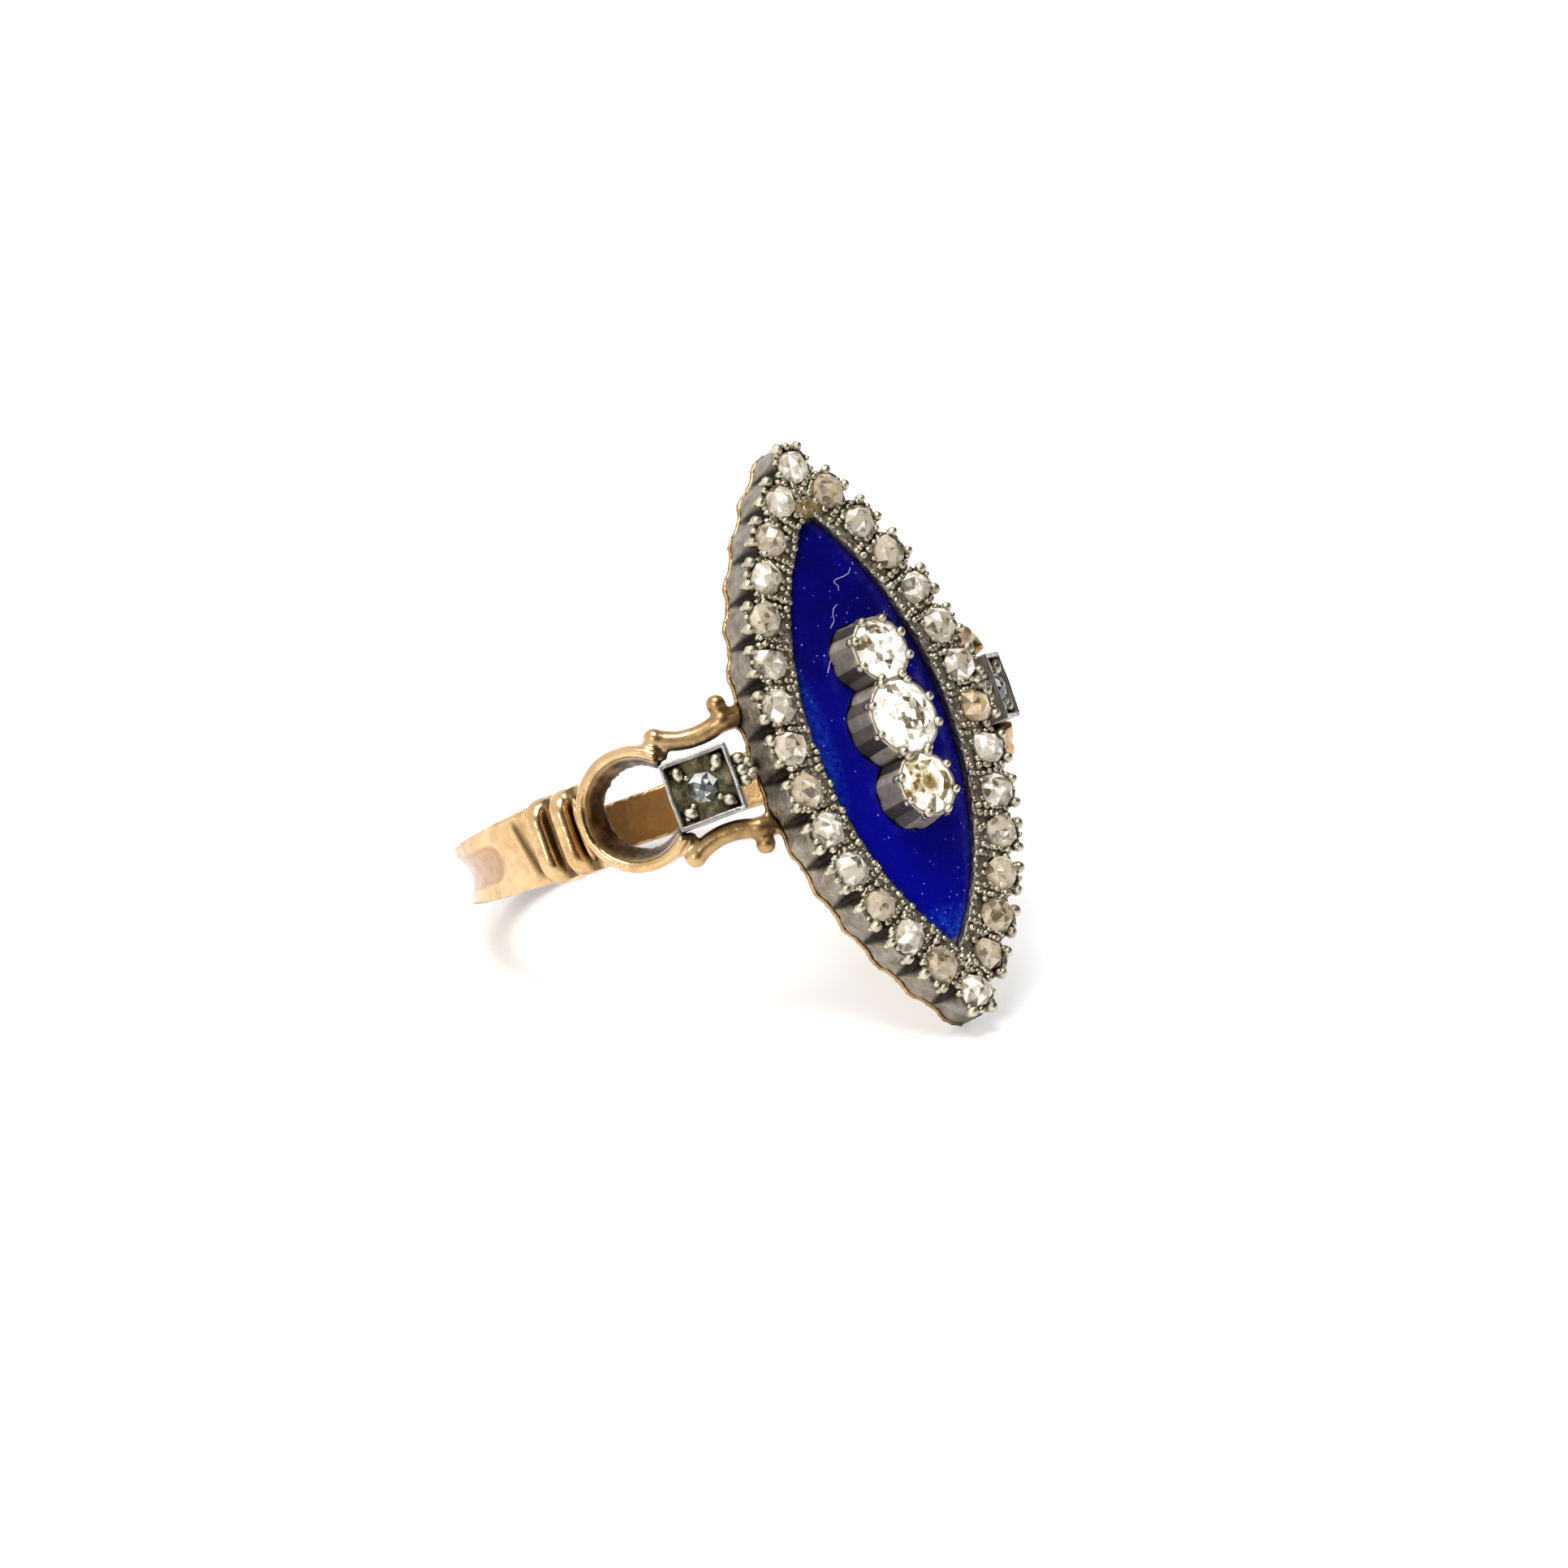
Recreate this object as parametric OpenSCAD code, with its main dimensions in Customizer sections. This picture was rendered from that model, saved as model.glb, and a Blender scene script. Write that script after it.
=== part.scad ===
// A navette dress ring with a cobalt enamel plaque, three diamonds in a row and a diamond border.
// Ring frame: Z runs through the finger, the face looks towards -Y, and X goes across the ring.
// Everything is built in that frame and then laid on its side, as the ring rests on a table.

/* [Finger hole and shank] */
// Radius of the finger hole
finger_r = 8.7; // [8.5:0.05:8.8]
// Outer radius of the band at its raised edges
band_r = 10; // [9.9:0.05:10.1]
// Half the band's width beside the ribs
band_half_front = 1.38; // [1.35:0.01:1.42]
// Half the band's width at the back
band_half_back = 0.88; // [0.86:0.01:0.95]
// Depth of the channel in the band's outer face
channel_depth = 0.3; // [0.27:0.01:0.35]
// Half the width of that channel
channel_half = 0.78; // [0.7:0.02:0.8]
// Depth that wear has taken off the band's back
back_wear = 0.24; // [0.2:0.01:0.26]

/* [Ribs and shoulders] */
// Angle of the rib nearer the back, from the face
rib_angle = 77.6; // [77:0.1:78]
// Angle between the two ribs
rib_step = 6.6; // [6.4:0.1:6.8]
// Radius of a rib's round bar
rib_bar_r = 0.42; // [0.38:0.01:0.44]
// Half the length of a rib across the band
rib_half = 1.64; // [1.58:0.01:1.7]
// How far the middle of a rib's bar stands out from the band
rib_rise = 0.2; // [0.1:0.05:0.25]
// Outer radius of the horseshoe loop
loop_r = 2.3; // [2.26:0.01:2.34]
// Width of the loop's front rim
loop_rim = 0.44; // [0.4:0.02:0.46]
// How much thicker the loop's wall is at the finger side
loop_flare = 0.4; // [0.3:0.02:0.44]
// Thickness of a scroll bar
scroll_w = 0.74; // [0.72:0.01:0.74]
// Radius of the curve of a scroll bar
scroll_curve = 2.6; // [2.5:0.05:2.8]
// Radius of the ball at a scroll's end
ball_r = 0.37; // [0.35:0.01:0.39]

/* [Box settings] */
// Side of the square box setting
box_side = 2.54; // [2.5:0.02:2.58]
// Width of its bright rim
box_rim = 0.24; // [0.2:0.02:0.26]
// Radius of the stone in the box
box_stone_r = 0.58; // [0.54:0.01:0.6]

/* [Head] */
// Distance from the finger's axis to the border stones
head_reach = 10.58; // [10.5:0.02:10.66]
// Angle by which the head leans back at the top
head_lean = 4.7; // [4:0.1:5]
// Angle by which the head has been twisted round on the shank
head_turn = 4.5; // [3:0.1:5]
// Half the length of the row of border stones
border_half_l = 10.12; // [10:0.04:10.2]
// Half the width of the row of border stones
border_half_w = 4.38; // [4.3:0.02:4.46]
// Radius of a border stone
border_stone_r = 0.62; // [0.58:0.01:0.64]
// Radius of the lobe of silver round each border stone
lobe_r = 0.85; // [0.83:0.01:0.87]
// Depth of the silver border
border_depth = 1.38; // [1.34:0.02:1.4]
// Thickness of the gold back plate
plate_t = 0.2; // [0.18:0.02:0.24]
// Radius of a claw bead on the border
claw_r = 0.17; // [0.15:0.01:0.18]

/* [Enamel and centre stones] */
// How far the enamel's edge lies behind the border's front
enamel_sink = 0.4; // [0.36:0.02:0.44]
// How far the enamel rises from its edge to its middle
enamel_rise = 0.65; // [0.55:0.05:0.7]
// Radius of the middle stone
middle_r = 1.38; // [1.34:0.01:1.4]
// Radius of the stones above and below it
outer_r = 1.13; // [1.1:0.01:1.15]
// Distance between the centre stones
centre_step = 2.58; // [2.56:0.01:2.62]
// Height of the centre stones' widest line above the border stones
centre_girdle = 1.34; // [1.3:0.01:1.38]

/* [Hidden] */
$fn = 64;
gap = 0.03;
far = 30;

border_count = 28;
side_count = border_count / 2;
BORDER_STONES = [for (k = [1 : border_count]) str("border_stone_", k)];
CENTRE_STONES = ["centre_stone_top", "centre_stone_middle", "centre_stone_bottom"];

gold = "goldenrod";
silver = "dimgray";
diamond = "whitesmoke";
cobalt = "mediumblue";

// The border's centre line is two arcs that meet at the tips.
border_arc_r = (border_half_l * border_half_l + border_half_w * border_half_w) / (2 * border_half_w);
border_arc_x = border_arc_r - border_half_w;
border_arc_a = asin(border_half_l / border_arc_r);

// Heights in the head, measured forwards from the border stones' widest line
border_front = -0.05;
border_back = border_front - border_depth;
plate_back = border_back - plate_t;
plate_rim = 0.04;
lobe_join = 0.7;
inner_join = -1.15;
tip_reach = border_half_l + lobe_r + plate_rim;

// The enamel's dome is the outside of a torus: long_r along the head and cross_r across it.
enamel_half_w = border_half_w + inner_join - gap;
enamel_half_l = sqrt(pow(border_arc_r + inner_join - gap, 2) - pow(border_arc_x, 2));
enamel_edge = border_front - enamel_sink;
enamel_top = enamel_edge + enamel_rise;
cross_r = (pow(enamel_half_w, 2) + pow(enamel_rise, 2)) / (2 * enamel_rise);
long_r = (pow(enamel_half_l, 2) + pow(enamel_rise, 2)) / (2 * enamel_rise);

// The three centre collets from top to bottom: place along the head, stone radius
CENTRES = [[centre_step, outer_r], [0, middle_r], [-centre_step, outer_r]];
collet_foot = -0.05;
collet_flare = 0.28;

// The head sits a little below the middle of the band.
head_shift = -0.2;

// Middle of the horseshoe's front and of the box's front on the left shoulder, and the way they face
LOOP_AT = [-8.85, -6.4, 0];
loop_faces = 60;
loop_depth = 1.15;
loop_open = 45;
BOX_AT = [-7.37, -8.85, -0.1];
box_faces = 39.5;
box_depth = 1.6;

// Places on the box's face, measured from its middle
scroll_low_s = 0.3;
scroll_low_z = 1.82;
scroll_start_s = -1.12;
scroll_end_s = 1.35;
scroll_depth = 1.02;
post_r = 0.27;
post_l = 0.84;
root_r = 0.42;
root_l = 1.6;
ball_s = 1.4;
ball_z = 2.66;

// The pose at rest: the head's lower tip and the back of the band touch the table.
function band_half(y) = band_half_front - (band_half_front - band_half_back) * y / band_r;
low_reach = tip_reach * cos(head_turn);
tip_y = -head_reach - plate_back * cos(head_lean) - low_reach * sin(head_lean);
tip_z = head_shift + plate_back * sin(head_lean) - low_reach * cos(head_lean);
heel_y = band_r - back_wear;
heel_z = -band_half(heel_y);
rest_tilt = atan((heel_z - tip_z) / (heel_y - tip_y));
rest_drop = heel_z * cos(rest_tilt) - heel_y * sin(rest_tilt);
face_tip_y = tip_y + (plate_back - border_front) * cos(head_lean);
face_tip_z = tip_z - (plate_back - border_front) * sin(head_lean);
front_y = face_tip_y * cos(rest_tilt) + face_tip_z * sin(rest_tilt);
rear_y = heel_y * cos(rest_tilt) - heel_z * sin(rest_tilt);

// Lays the ring on its side with the middle of its footprint at the origin.
module at_rest() {
  translate([0, -(front_y + rear_y) / 2, -rest_drop])
    rotate([-rest_tilt, 0, 0])
      children();
}

// Head frame: X across, Y towards the upper tip, Z outwards from the face.
module on_head() {
  translate([0, -head_reach, head_shift])
    rotate([90 - head_lean, 0, 0])
      rotate([0, 0, -head_turn])
        children();
}

// A face on the left shoulder: X towards the head, Y along the finger's axis, Z outwards.
module on_shoulder(place, faces) {
  translate(place)
    rotate([0, 0, -faces])
      rotate([90, 0, 0])
        children();
}

// A point on the ring's rim, with X along the finger's axis and Y outwards
module at_rim(angle, r) {
  rotate([0, 0, -90 - angle])
    translate([r, 0, 0])
      children();
}

// Repeats a left-hand piece on the right.
module both_sides() {
  children();
  mirror([1, 0, 0])
    children();
}

// A navette outline that lies d outside the border's centre line
module navette(d) {
  intersection() {
    translate([-border_arc_x, 0])
      circle(border_arc_r + d);
    translate([border_arc_x, 0])
      circle(border_arc_r + d);
  }
}

// Place of border stone k: 0 is the upper tip, and the numbers run clockwise.
function border_side(k) = k <= side_count ? 1 : -1;
function border_angle(k) = border_arc_a * (1 - 2 * (k <= side_count ? k : border_count - k) / side_count);
function border_place(k, d = 0) = [
  border_side(k) * ((border_arc_r + d) * cos(border_angle(k)) - border_arc_x),
  (border_arc_r + d) * sin(border_angle(k))
];
// Direction from a border stone straight out of the head
function border_out(k) = k % side_count == 0 ? (k == 0 ? 90 : -90)
  : border_side(k) > 0 ? border_angle(k) : 180 - border_angle(k);

// The scalloped outline of the silver border and of the plate behind it
module head_outline(grow = 0) {
  navette(lobe_join + grow);
  for (k = [0 : border_count - 1])
    translate(border_place(k))
      circle(lobe_r + grow);
}

module finger_hole() {
  cylinder(r = finger_r, h = far, center = true);
}

// Tapered band with a hollow channel round its outer face
module band() {
  arc = 360 - 2 * (rib_angle - rib_step - 6);
  channel_r = (channel_half * channel_half + channel_depth * channel_depth) / (2 * channel_depth);
  channel_at = band_r - channel_depth + channel_r;
  channel_from = rib_angle + 19;
  edge = band_r + 1;
  difference() {
    intersection() {
      rotate([0, 0, 90 - arc / 2])
        rotate_extrude(angle = arc)
          translate([finger_r - 0.2, -2])
            square([band_r - finger_r + 0.2, 4]);
      rotate([90, 0, -90])
        linear_extrude(height = far, center = true)
          polygon([
            [-edge, band_half(edge)],
            [-edge, -band_half(edge)],
            [edge, -band_half(-edge)],
            [edge, band_half(-edge)]
          ]);
    }
    rotate([0, 0, channel_from - 90])
      rotate_extrude(angle = 360 - 2 * channel_from)
        translate([channel_at, 0])
          circle(channel_r);
    both_sides() {
      at_rim(channel_from, channel_at)
        sphere(channel_r);
      at_rim(rib_angle + 4.9, band_r + 0.38)
        cylinder(r = 0.5, h = far, center = true);
    }
    translate([-far / 2, heel_y, -far / 2])
      cube(far);
  }
}

// A rounded rib that wraps over the band and down both its edges
module rib(angle) {
  bend = rib_bar_r + 0.1;
  top_r = band_r + rib_rise;
  straight = rib_half - rib_bar_r - bend;
  at_rim(angle, top_r)
    cylinder(r = rib_bar_r, h = 2 * straight, center = true);
  for (side = [-1, 1])
    at_rim(angle, top_r - bend)
      translate([0, 0, side * straight])
        rotate([90, 0, 0]) {
          rotate([0, 0, side > 0 ? 0 : -90])
            rotate_extrude(angle = 90)
              translate([bend, 0])
                circle(rib_bar_r);
          translate([0, side * bend, 0])
            rotate([0, -90, 0])
              cylinder(r = rib_bar_r, h = top_r - bend - finger_r + 0.1);
        }
}

// Section of the loop's wall: round rim in front, thicker towards the finger
module loop_section() {
  inner = loop_r - loop_rim;
  polygon([
    [loop_r, -loop_rim / 2],
    [loop_r, -loop_depth],
    [inner - loop_flare, -loop_depth],
    [inner, -loop_rim / 2]
  ]);
  translate([loop_r - loop_rim / 2, -loop_rim / 2])
    circle(loop_rim / 2);
}

// Horseshoe loop that opens towards the head; its two ends are cut to clear the box.
module horseshoe() {
  difference() {
    on_shoulder(LOOP_AT, loop_faces)
      rotate([0, 0, loop_open])
        rotate_extrude(angle = 360 - 2 * loop_open)
          loop_section();
    on_shoulder(BOX_AT, box_faces)
      cube([box_side + 2 * gap, box_side + 2 * gap, far], center = true);
  }
}

// One scroll: a curved round bar on a short post, a ball beside the head and a root on the plate
module scroll() {
  centre_z = scroll_low_z + scroll_curve;
  start_a = asin((scroll_low_s - scroll_start_s) / scroll_curve);
  end_a = asin((scroll_end_s - scroll_low_s) / scroll_curve);
  end_z = centre_z - scroll_curve * cos(end_a);
  translate([scroll_low_s, centre_z, -scroll_depth])
    rotate([0, 0, -90 - start_a])
      rotate_extrude(angle = start_a + end_a)
        translate([scroll_curve, 0])
          circle(scroll_w / 2);
  translate([scroll_start_s, centre_z - scroll_curve * cos(start_a), -scroll_depth]) {
    sphere(scroll_w / 2 + 0.03);
    rotate([90, 0, 0])
      cylinder(r = post_r, h = post_l);
  }
  translate([scroll_end_s, end_z, -scroll_depth])
    rotate([0, box_faces, 0]) {
      sphere(root_r);
      rotate([0, 90, 0])
        cylinder(r = root_r, h = root_l);
    }
  translate([ball_s, ball_z, -scroll_depth])
    sphere(ball_r);
}

// Gold plate that closes the back of the head
module back_plate() {
  on_head()
    translate([0, 0, plate_back])
      linear_extrude(height = plate_t)
        head_outline(plate_rim);
}

// The room that the head takes in front of a level, grown by d
module head_room(level, d) {
  on_head()
    translate([0, 0, level])
      linear_extrude(height = 4)
        head_outline(d);
}

// All the gold is soldered into one piece.
module shank() {
  color(gold) {
    difference() {
      union() {
        band();
        both_sides() {
          rib(rib_angle);
          rib(rib_angle - rib_step);
          horseshoe();
          on_shoulder(BOX_AT, box_faces) {
            scroll();
            mirror([0, 1, 0])
              scroll();
          }
        }
      }
      finger_hole();
      head_room(border_back, gap);
    }
    back_plate();
  }
}

// Silver frame round the enamel, with a seat for each stone, notches and claw beads
module silver_border() {
  color(silver)
    on_head() {
      difference() {
        translate([0, 0, border_back + gap])
          linear_extrude(height = border_depth - gap)
            difference() {
              head_outline();
              navette(inner_join);
            }
        for (k = [0 : border_count - 1])
          translate([each border_place(k), -0.5])
            cylinder(r = border_stone_r + gap, h = 1);
        for (k = [0 : border_count - 1])
          border_notch(k + 0.5);
      }
      for (k = [0 : border_count - 1])
        translate(border_place(k))
          rotate([0, 0, border_out(k)])
            for (side = [-1, 1])
              translate([lobe_r * 0.78, side * 0.45, border_front])
                sphere(claw_r);
    }
}

// V groove in the outer wall between two lobes, deep in front and gone at the back
module border_notch(k) {
  translate([each border_place(k, lobe_join + 0.1), border_back])
    cylinder(r1 = 0.02, r2 = 0.31, h = border_depth + 0.1);
}

// Domed block whose upper skin is the enamel's surface
module enamel_dome() {
  translate([0, 0, enamel_top - long_r])
    rotate([0, 90, 0])
      rotate_extrude($fn = 720)
        translate([long_r - cross_r, 0])
          circle(cross_r, $fn = 180);
}

module enamel() {
  color(cobalt)
    on_head()
      difference() {
        intersection() {
          translate([0, 0, border_back + gap])
            linear_extrude(height = 4)
              navette(inner_join - gap);
          enamel_dome();
        }
        for (c = CENTRES)
          translate([0, c[0], 0])
            collet_cone(c[1], gap);
      }
}

// Cone of a centre collet for a stone of radius r, grown by d
module collet_cone(r, d = 0) {
  translate([0, 0, collet_foot - d])
    cylinder(r1 = r + collet_flare + d, r2 = r + 0.14 + d, h = centre_girdle - collet_foot + d);
}

// Three cone collets in a row, soldered side by side, with bead claws round each stone
module centre_collets() {
  claw_count = 8;
  seat = centre_girdle - 0.1;
  color(silver)
    on_head()
      difference() {
        union()
          for (c = CENTRES)
            translate([0, c[0], 0]) {
              collet_cone(c[1]);
              for (k = [0 : claw_count - 1])
                rotate([0, 0, (k + 0.5) * 360 / claw_count])
                  translate([c[1] + 0.07, 0, centre_girdle])
                    sphere(0.16);
            }
        for (c = CENTRES)
          translate([0, c[0], 0]) {
            translate([0, 0, seat])
              cylinder(r = c[1] + gap, h = 2);
            translate([0, 0, seat - 0.45 * c[1]])
              cylinder(r1 = 0.3 * c[1], r2 = c[1] + gap, h = 0.45 * c[1] + 0.001);
            for (k = [0 : claw_count - 1])
              rotate([0, 0, k * 360 / claw_count])
                translate([c[1] + 0.36, 0, collet_foot + 0.35])
                  rotate([0, 8, 0])
                    cylinder(r1 = 0.02, r2 = 0.27, h = 1.8);
          }
      }
}

// Square silver box with a raised rim, a sunk floor, corner grains and a link to the head
module box_setting() {
  half = box_side / 2;
  floor_at = -0.28;
  hollow = box_side - 2 * box_rim;
  link_l = 0.55;
  link_y = 0.18;
  grain_at = 0.7;
  on_shoulder(BOX_AT, box_faces) {
    difference() {
      translate([-half, -half, -box_depth])
        cube([box_side, box_side, box_depth]);
      translate([-hollow / 2, -hollow / 2, floor_at])
        cube([hollow, hollow, 1]);
      translate([0, 0, floor_at - 0.26])
        cylinder(r = box_stone_r + gap, h = 1);
    }
    for (x = [-1, 1])
      for (y = [-1, 1])
        translate([x * grain_at, y * grain_at, floor_at])
          sphere(0.2);
    translate([half - 0.1, link_y, -0.7])
      rotate([0, 90, 0])
        cylinder(r = 0.33, h = link_l + 0.1);
    for (y = [-0.4, 0, 0.4])
      translate([half + 0.22, link_y + y, -0.45])
        sphere(0.27);
  }
}

// Rose-cut stone: flat base, domed crown of facets and a small table
module rose_cut(r) {
  hull() {
    translate([0, 0, -0.28])
      cylinder(r = r * 0.9, h = 0.02, $fn = 12);
    translate([0, 0, -0.08])
      cylinder(r = r, h = 0.04, $fn = 12);
    translate([0, 0, 0.62 * r - 0.22])
      rotate([0, 0, 30])
        cylinder(r = r * 0.66, h = 0.01, $fn = 6);
    translate([0, 0, 0.8 * r - 0.22])
      cylinder(r = r * 0.28, h = 0.01, $fn = 6);
  }
}

// Old brilliant: eight-sided table, two rows of crown facets, a girdle and a pavilion to a small culet
module old_brilliant(r) {
  hull() {
    translate([0, 0, -0.42 * r])
      cylinder(r = 0.1 * r, h = 0.01, $fn = 8);
    translate([0, 0, -0.02])
      rotate([0, 0, 11.25])
        cylinder(r = r, h = 0.05, $fn = 16);
    translate([0, 0, 0.17 * r])
      rotate([0, 0, 22.5])
        cylinder(r = 0.8 * r, h = 0.005, $fn = 8);
    translate([0, 0, 0.26 * r])
      cylinder(r = 0.5 * r, h = 0.01, $fn = 8);
  }
}

module border_stone(k) {
  color(diamond)
    on_head()
      translate(border_place(k))
        rotate([0, 0, k * 47])
          rose_cut(border_stone_r - 0.02 * (k % 3));
}

module centre_stone(k) {
  color(diamond)
    on_head()
      translate([0, CENTRES[k][0], centre_girdle - 0.05])
        rotate([0, 0, k * 13])
          old_brilliant(CENTRES[k][1]);
}

module box_stone() {
  color(diamond)
    on_shoulder(BOX_AT, box_faces)
      translate([0, 0, -0.25])
        rotate([0, 0, 10])
          rose_cut(box_stone_r);
}

module left_box() {
  color(silver)
    difference() {
      box_setting();
      head_room(plate_back - gap, plate_rim + gap);
    }
}

module right_box() {
  color(silver)
    difference() {
      mirror([1, 0, 0])
        box_setting();
      head_room(plate_back - gap, plate_rim + gap);
    }
}

module left_box_stone() {
  box_stone();
}

module right_box_stone() {
  mirror([1, 0, 0])
    box_stone();
}

at_rest() shank();
at_rest() silver_border();
at_rest() enamel();
at_rest() centre_collets();
at_rest() left_box();
at_rest() right_box();
at_rest() left_box_stone();
at_rest() right_box_stone();
for (k = [0 : len(CENTRE_STONES) - 1])
  at_rest() centre_stone(k);
for (k = [0 : border_count - 1])
  at_rest() border_stone(k);
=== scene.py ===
# %% [markdown]
# # An old enamel ring, dressed in Blender
# The ring is a pointed-oval plaque of blue enamel in a frame of small diamonds, on a worn gold band.
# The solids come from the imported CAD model. This lesson keeps them in place and gives them worn metal,
# glassy enamel, cut stones and the small grains of silver that a setter raises with a graver.

from math import asin, atan2, cos, degrees, pi, radians, sin, sqrt
from random import Random

import bmesh
import bpy
from mathutils import Euler, Matrix, Vector, noise


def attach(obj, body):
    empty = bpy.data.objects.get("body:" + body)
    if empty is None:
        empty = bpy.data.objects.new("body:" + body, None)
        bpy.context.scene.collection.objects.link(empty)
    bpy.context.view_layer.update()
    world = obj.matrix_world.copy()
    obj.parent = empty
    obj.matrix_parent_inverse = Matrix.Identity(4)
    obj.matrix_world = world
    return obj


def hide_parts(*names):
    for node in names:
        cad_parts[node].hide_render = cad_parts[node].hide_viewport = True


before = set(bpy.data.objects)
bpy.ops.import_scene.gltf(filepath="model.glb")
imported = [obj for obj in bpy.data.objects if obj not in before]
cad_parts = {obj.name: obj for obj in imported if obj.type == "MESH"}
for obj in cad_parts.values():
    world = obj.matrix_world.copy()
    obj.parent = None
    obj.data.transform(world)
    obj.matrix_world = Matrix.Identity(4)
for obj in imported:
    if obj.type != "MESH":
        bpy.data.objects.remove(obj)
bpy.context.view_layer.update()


def in_mm(points):
    """Points in metres as rounded millimetres, for printing."""
    return [round(1000 * x, 2) for point in points for x in point]


# %% [markdown]
# ## Places on the ring
# The ring lies on its side, so its own directions lean. One matrix takes a point of the upright ring to
# where it lies, and others do the same for the head's face and for the two box settings. The numbers
# repeat the named values of the CAD source, in millimetres, and the matrices end in metres.

# %% Frames of the ring, the head and the boxes
MM = 0.001
TO_METRES = Matrix.Scale(MM, 4)
REST_TILT = radians(27.889)
REST_MOVE = Vector((0, 3.1354, 5.3537))
HEAD_REACH = 10.58
HEAD_SHIFT = -0.2
HEAD_LEAN = radians(4.7)
HEAD_TURN = radians(4.5)
BOX_AT = Vector((-7.37, -8.85, -0.1))
BOX_FACES = radians(39.5)
LOOP_AT = Vector((-8.85, -6.4, 0))
LOOP_FACES = radians(60)


def turn(angle, axis):
    return Matrix.Rotation(angle, 4, axis)


RING = TO_METRES @ Matrix.Translation(REST_MOVE) @ turn(-REST_TILT, "X")


def on_shoulder(at, faces):
    """The frame of a face on the left shoulder, which looks away from the finger."""
    return RING @ Matrix.Translation(at) @ turn(-faces, "Z") @ turn(pi / 2, "X")


HEAD = (RING @ Matrix.Translation((0, -HEAD_REACH, HEAD_SHIFT))
        @ turn(pi / 2 - HEAD_LEAN, "X") @ turn(-HEAD_TURN, "Z"))
LEFT_BOX = on_shoulder(BOX_AT, BOX_FACES)
LEFT_LOOP = on_shoulder(LOOP_AT, LOOP_FACES)
MIRROR_X = Matrix.Diagonal((-1, 1, 1, 1))
RIGHT_BOX = RING @ MIRROR_X @ RING.inverted() @ LEFT_BOX
BOX_PLACES = {"left": LEFT_BOX, "right": RIGHT_BOX}
print("head face at", in_mm([HEAD.translation]))

# %% [markdown]
# ## The camera
# A long lens far away keeps the ring's proportions, as in a product photograph. The camera's place and
# its turn were fitted to points of the photograph. The tilt is counted from straight down.

# %% Camera
CAMERA_AT = Vector((-168.768, -194.959, 103.575)) * MM
CAMERA_TILT = radians(69.311)
CAMERA_ROLL = radians(1.850)
CAMERA_HEADING = radians(-41.678)
FIELD_OF_VIEW = radians(12)


def shown(name, data):
    """A new object in the scene."""
    made = bpy.data.objects.new(name, data)
    bpy.context.scene.collection.objects.link(made)
    return made


camera_data = bpy.data.cameras.new("camera")
camera_data.angle = FIELD_OF_VIEW
camera_data.clip_start = 0.01
camera_data.clip_end = 5
camera = shown("camera", camera_data)
camera_turn = Euler((CAMERA_TILT, CAMERA_ROLL, CAMERA_HEADING)).to_matrix().to_4x4()
camera.matrix_world = Matrix.Translation(CAMERA_AT) @ camera_turn
bpy.context.scene.camera = camera
print("camera looks down", round(90 - degrees(CAMERA_TILT), 1), "degrees")

# %% [markdown]
# ## Helpers for materials
# Every finish here is a small graph of nodes. It could be joined by hand in the editor; a few helpers
# that each add a node and join it let every material below read as a recipe.


# %% Node helpers
def fill(tree, node, inputs):
    """Joins inputs of a node to other nodes' outputs, or sets them to plain values."""
    for key, value in inputs.items():
        if isinstance(value, bpy.types.NodeSocket):
            tree.links.new(value, node.inputs[key])
        else:
            node.inputs[key].default_value = value


def add(tree, kind, inputs=None, **settings):
    """Adds a node with those inputs and settings."""
    made = tree.nodes.new("ShaderNode" + kind)
    for key, value in settings.items():
        setattr(made, key, value)
    fill(tree, made, inputs or {})
    return made


def finish_named(name):
    """A new material with its tree and its main shader."""
    made = bpy.data.materials.new(name)
    made.use_nodes = True
    return made, made.node_tree, made.node_tree.nodes["Principled BSDF"]


def combine(tree, how, first, *others):
    """A chain of Math nodes; each value is a socket or a number."""
    result = first
    for other in others or (0.0,):
        result = add(tree, "Math", {0: result, 1: other}, operation=how).outputs[0]
    return result


def times(tree, *values):
    return combine(tree, "MULTIPLY", *values)


def largest(tree, *values):
    return combine(tree, "MAXIMUM", *values)


def absolute(tree, value):
    return combine(tree, "ABSOLUTE", value)


def spread(tree, value, low, high, to_low=0.0, to_high=1.0):
    """Maps low..high to to_low..to_high and clamps; low may be the larger number."""
    return add(tree, "MapRange", {"Value": value, "From Min": low, "From Max": high,
                                  "To Min": to_low, "To Max": to_high}).outputs["Result"]


def blend(tree, amount, first, second, how="MIX"):
    """Mixes two colours, each a socket or three numbers."""
    first, second = (x if isinstance(x, bpy.types.NodeSocket) else (*x, 1) for x in (first, second))
    return add(tree, "Mix", {"Factor": amount, 6: first, 7: second}, data_type="RGBA",
               blend_type=how).outputs[2]


print("node helpers ready")

# %% [markdown]
# ## Helpers for patterns
# Patterns are measured in millimetres, in the ring's world or on one of its placed faces, so that a
# pattern keeps its real size. Noise, distances and ambient occlusion are the base of every worn finish
# and of the painted shade in hollows.


# %% Pattern helpers
def millimetres(tree, place=TO_METRES):
    """Object coordinates in millimetres, in the ring's world or on a placed face."""
    where, facing, _ = (place.inverted() @ TO_METRES).decompose()
    coordinates = add(tree, "TexCoord").outputs["Object"]
    return add(tree, "Mapping", {"Vector": coordinates, "Location": where, "Rotation": facing.to_euler(),
                                 "Scale": (1 / MM,) * 3}).outputs["Vector"]


def axes_of(tree, where):
    """The X, Y and Z of those coordinates, as sockets."""
    return add(tree, "SeparateXYZ", {"Vector": where}).outputs


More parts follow.
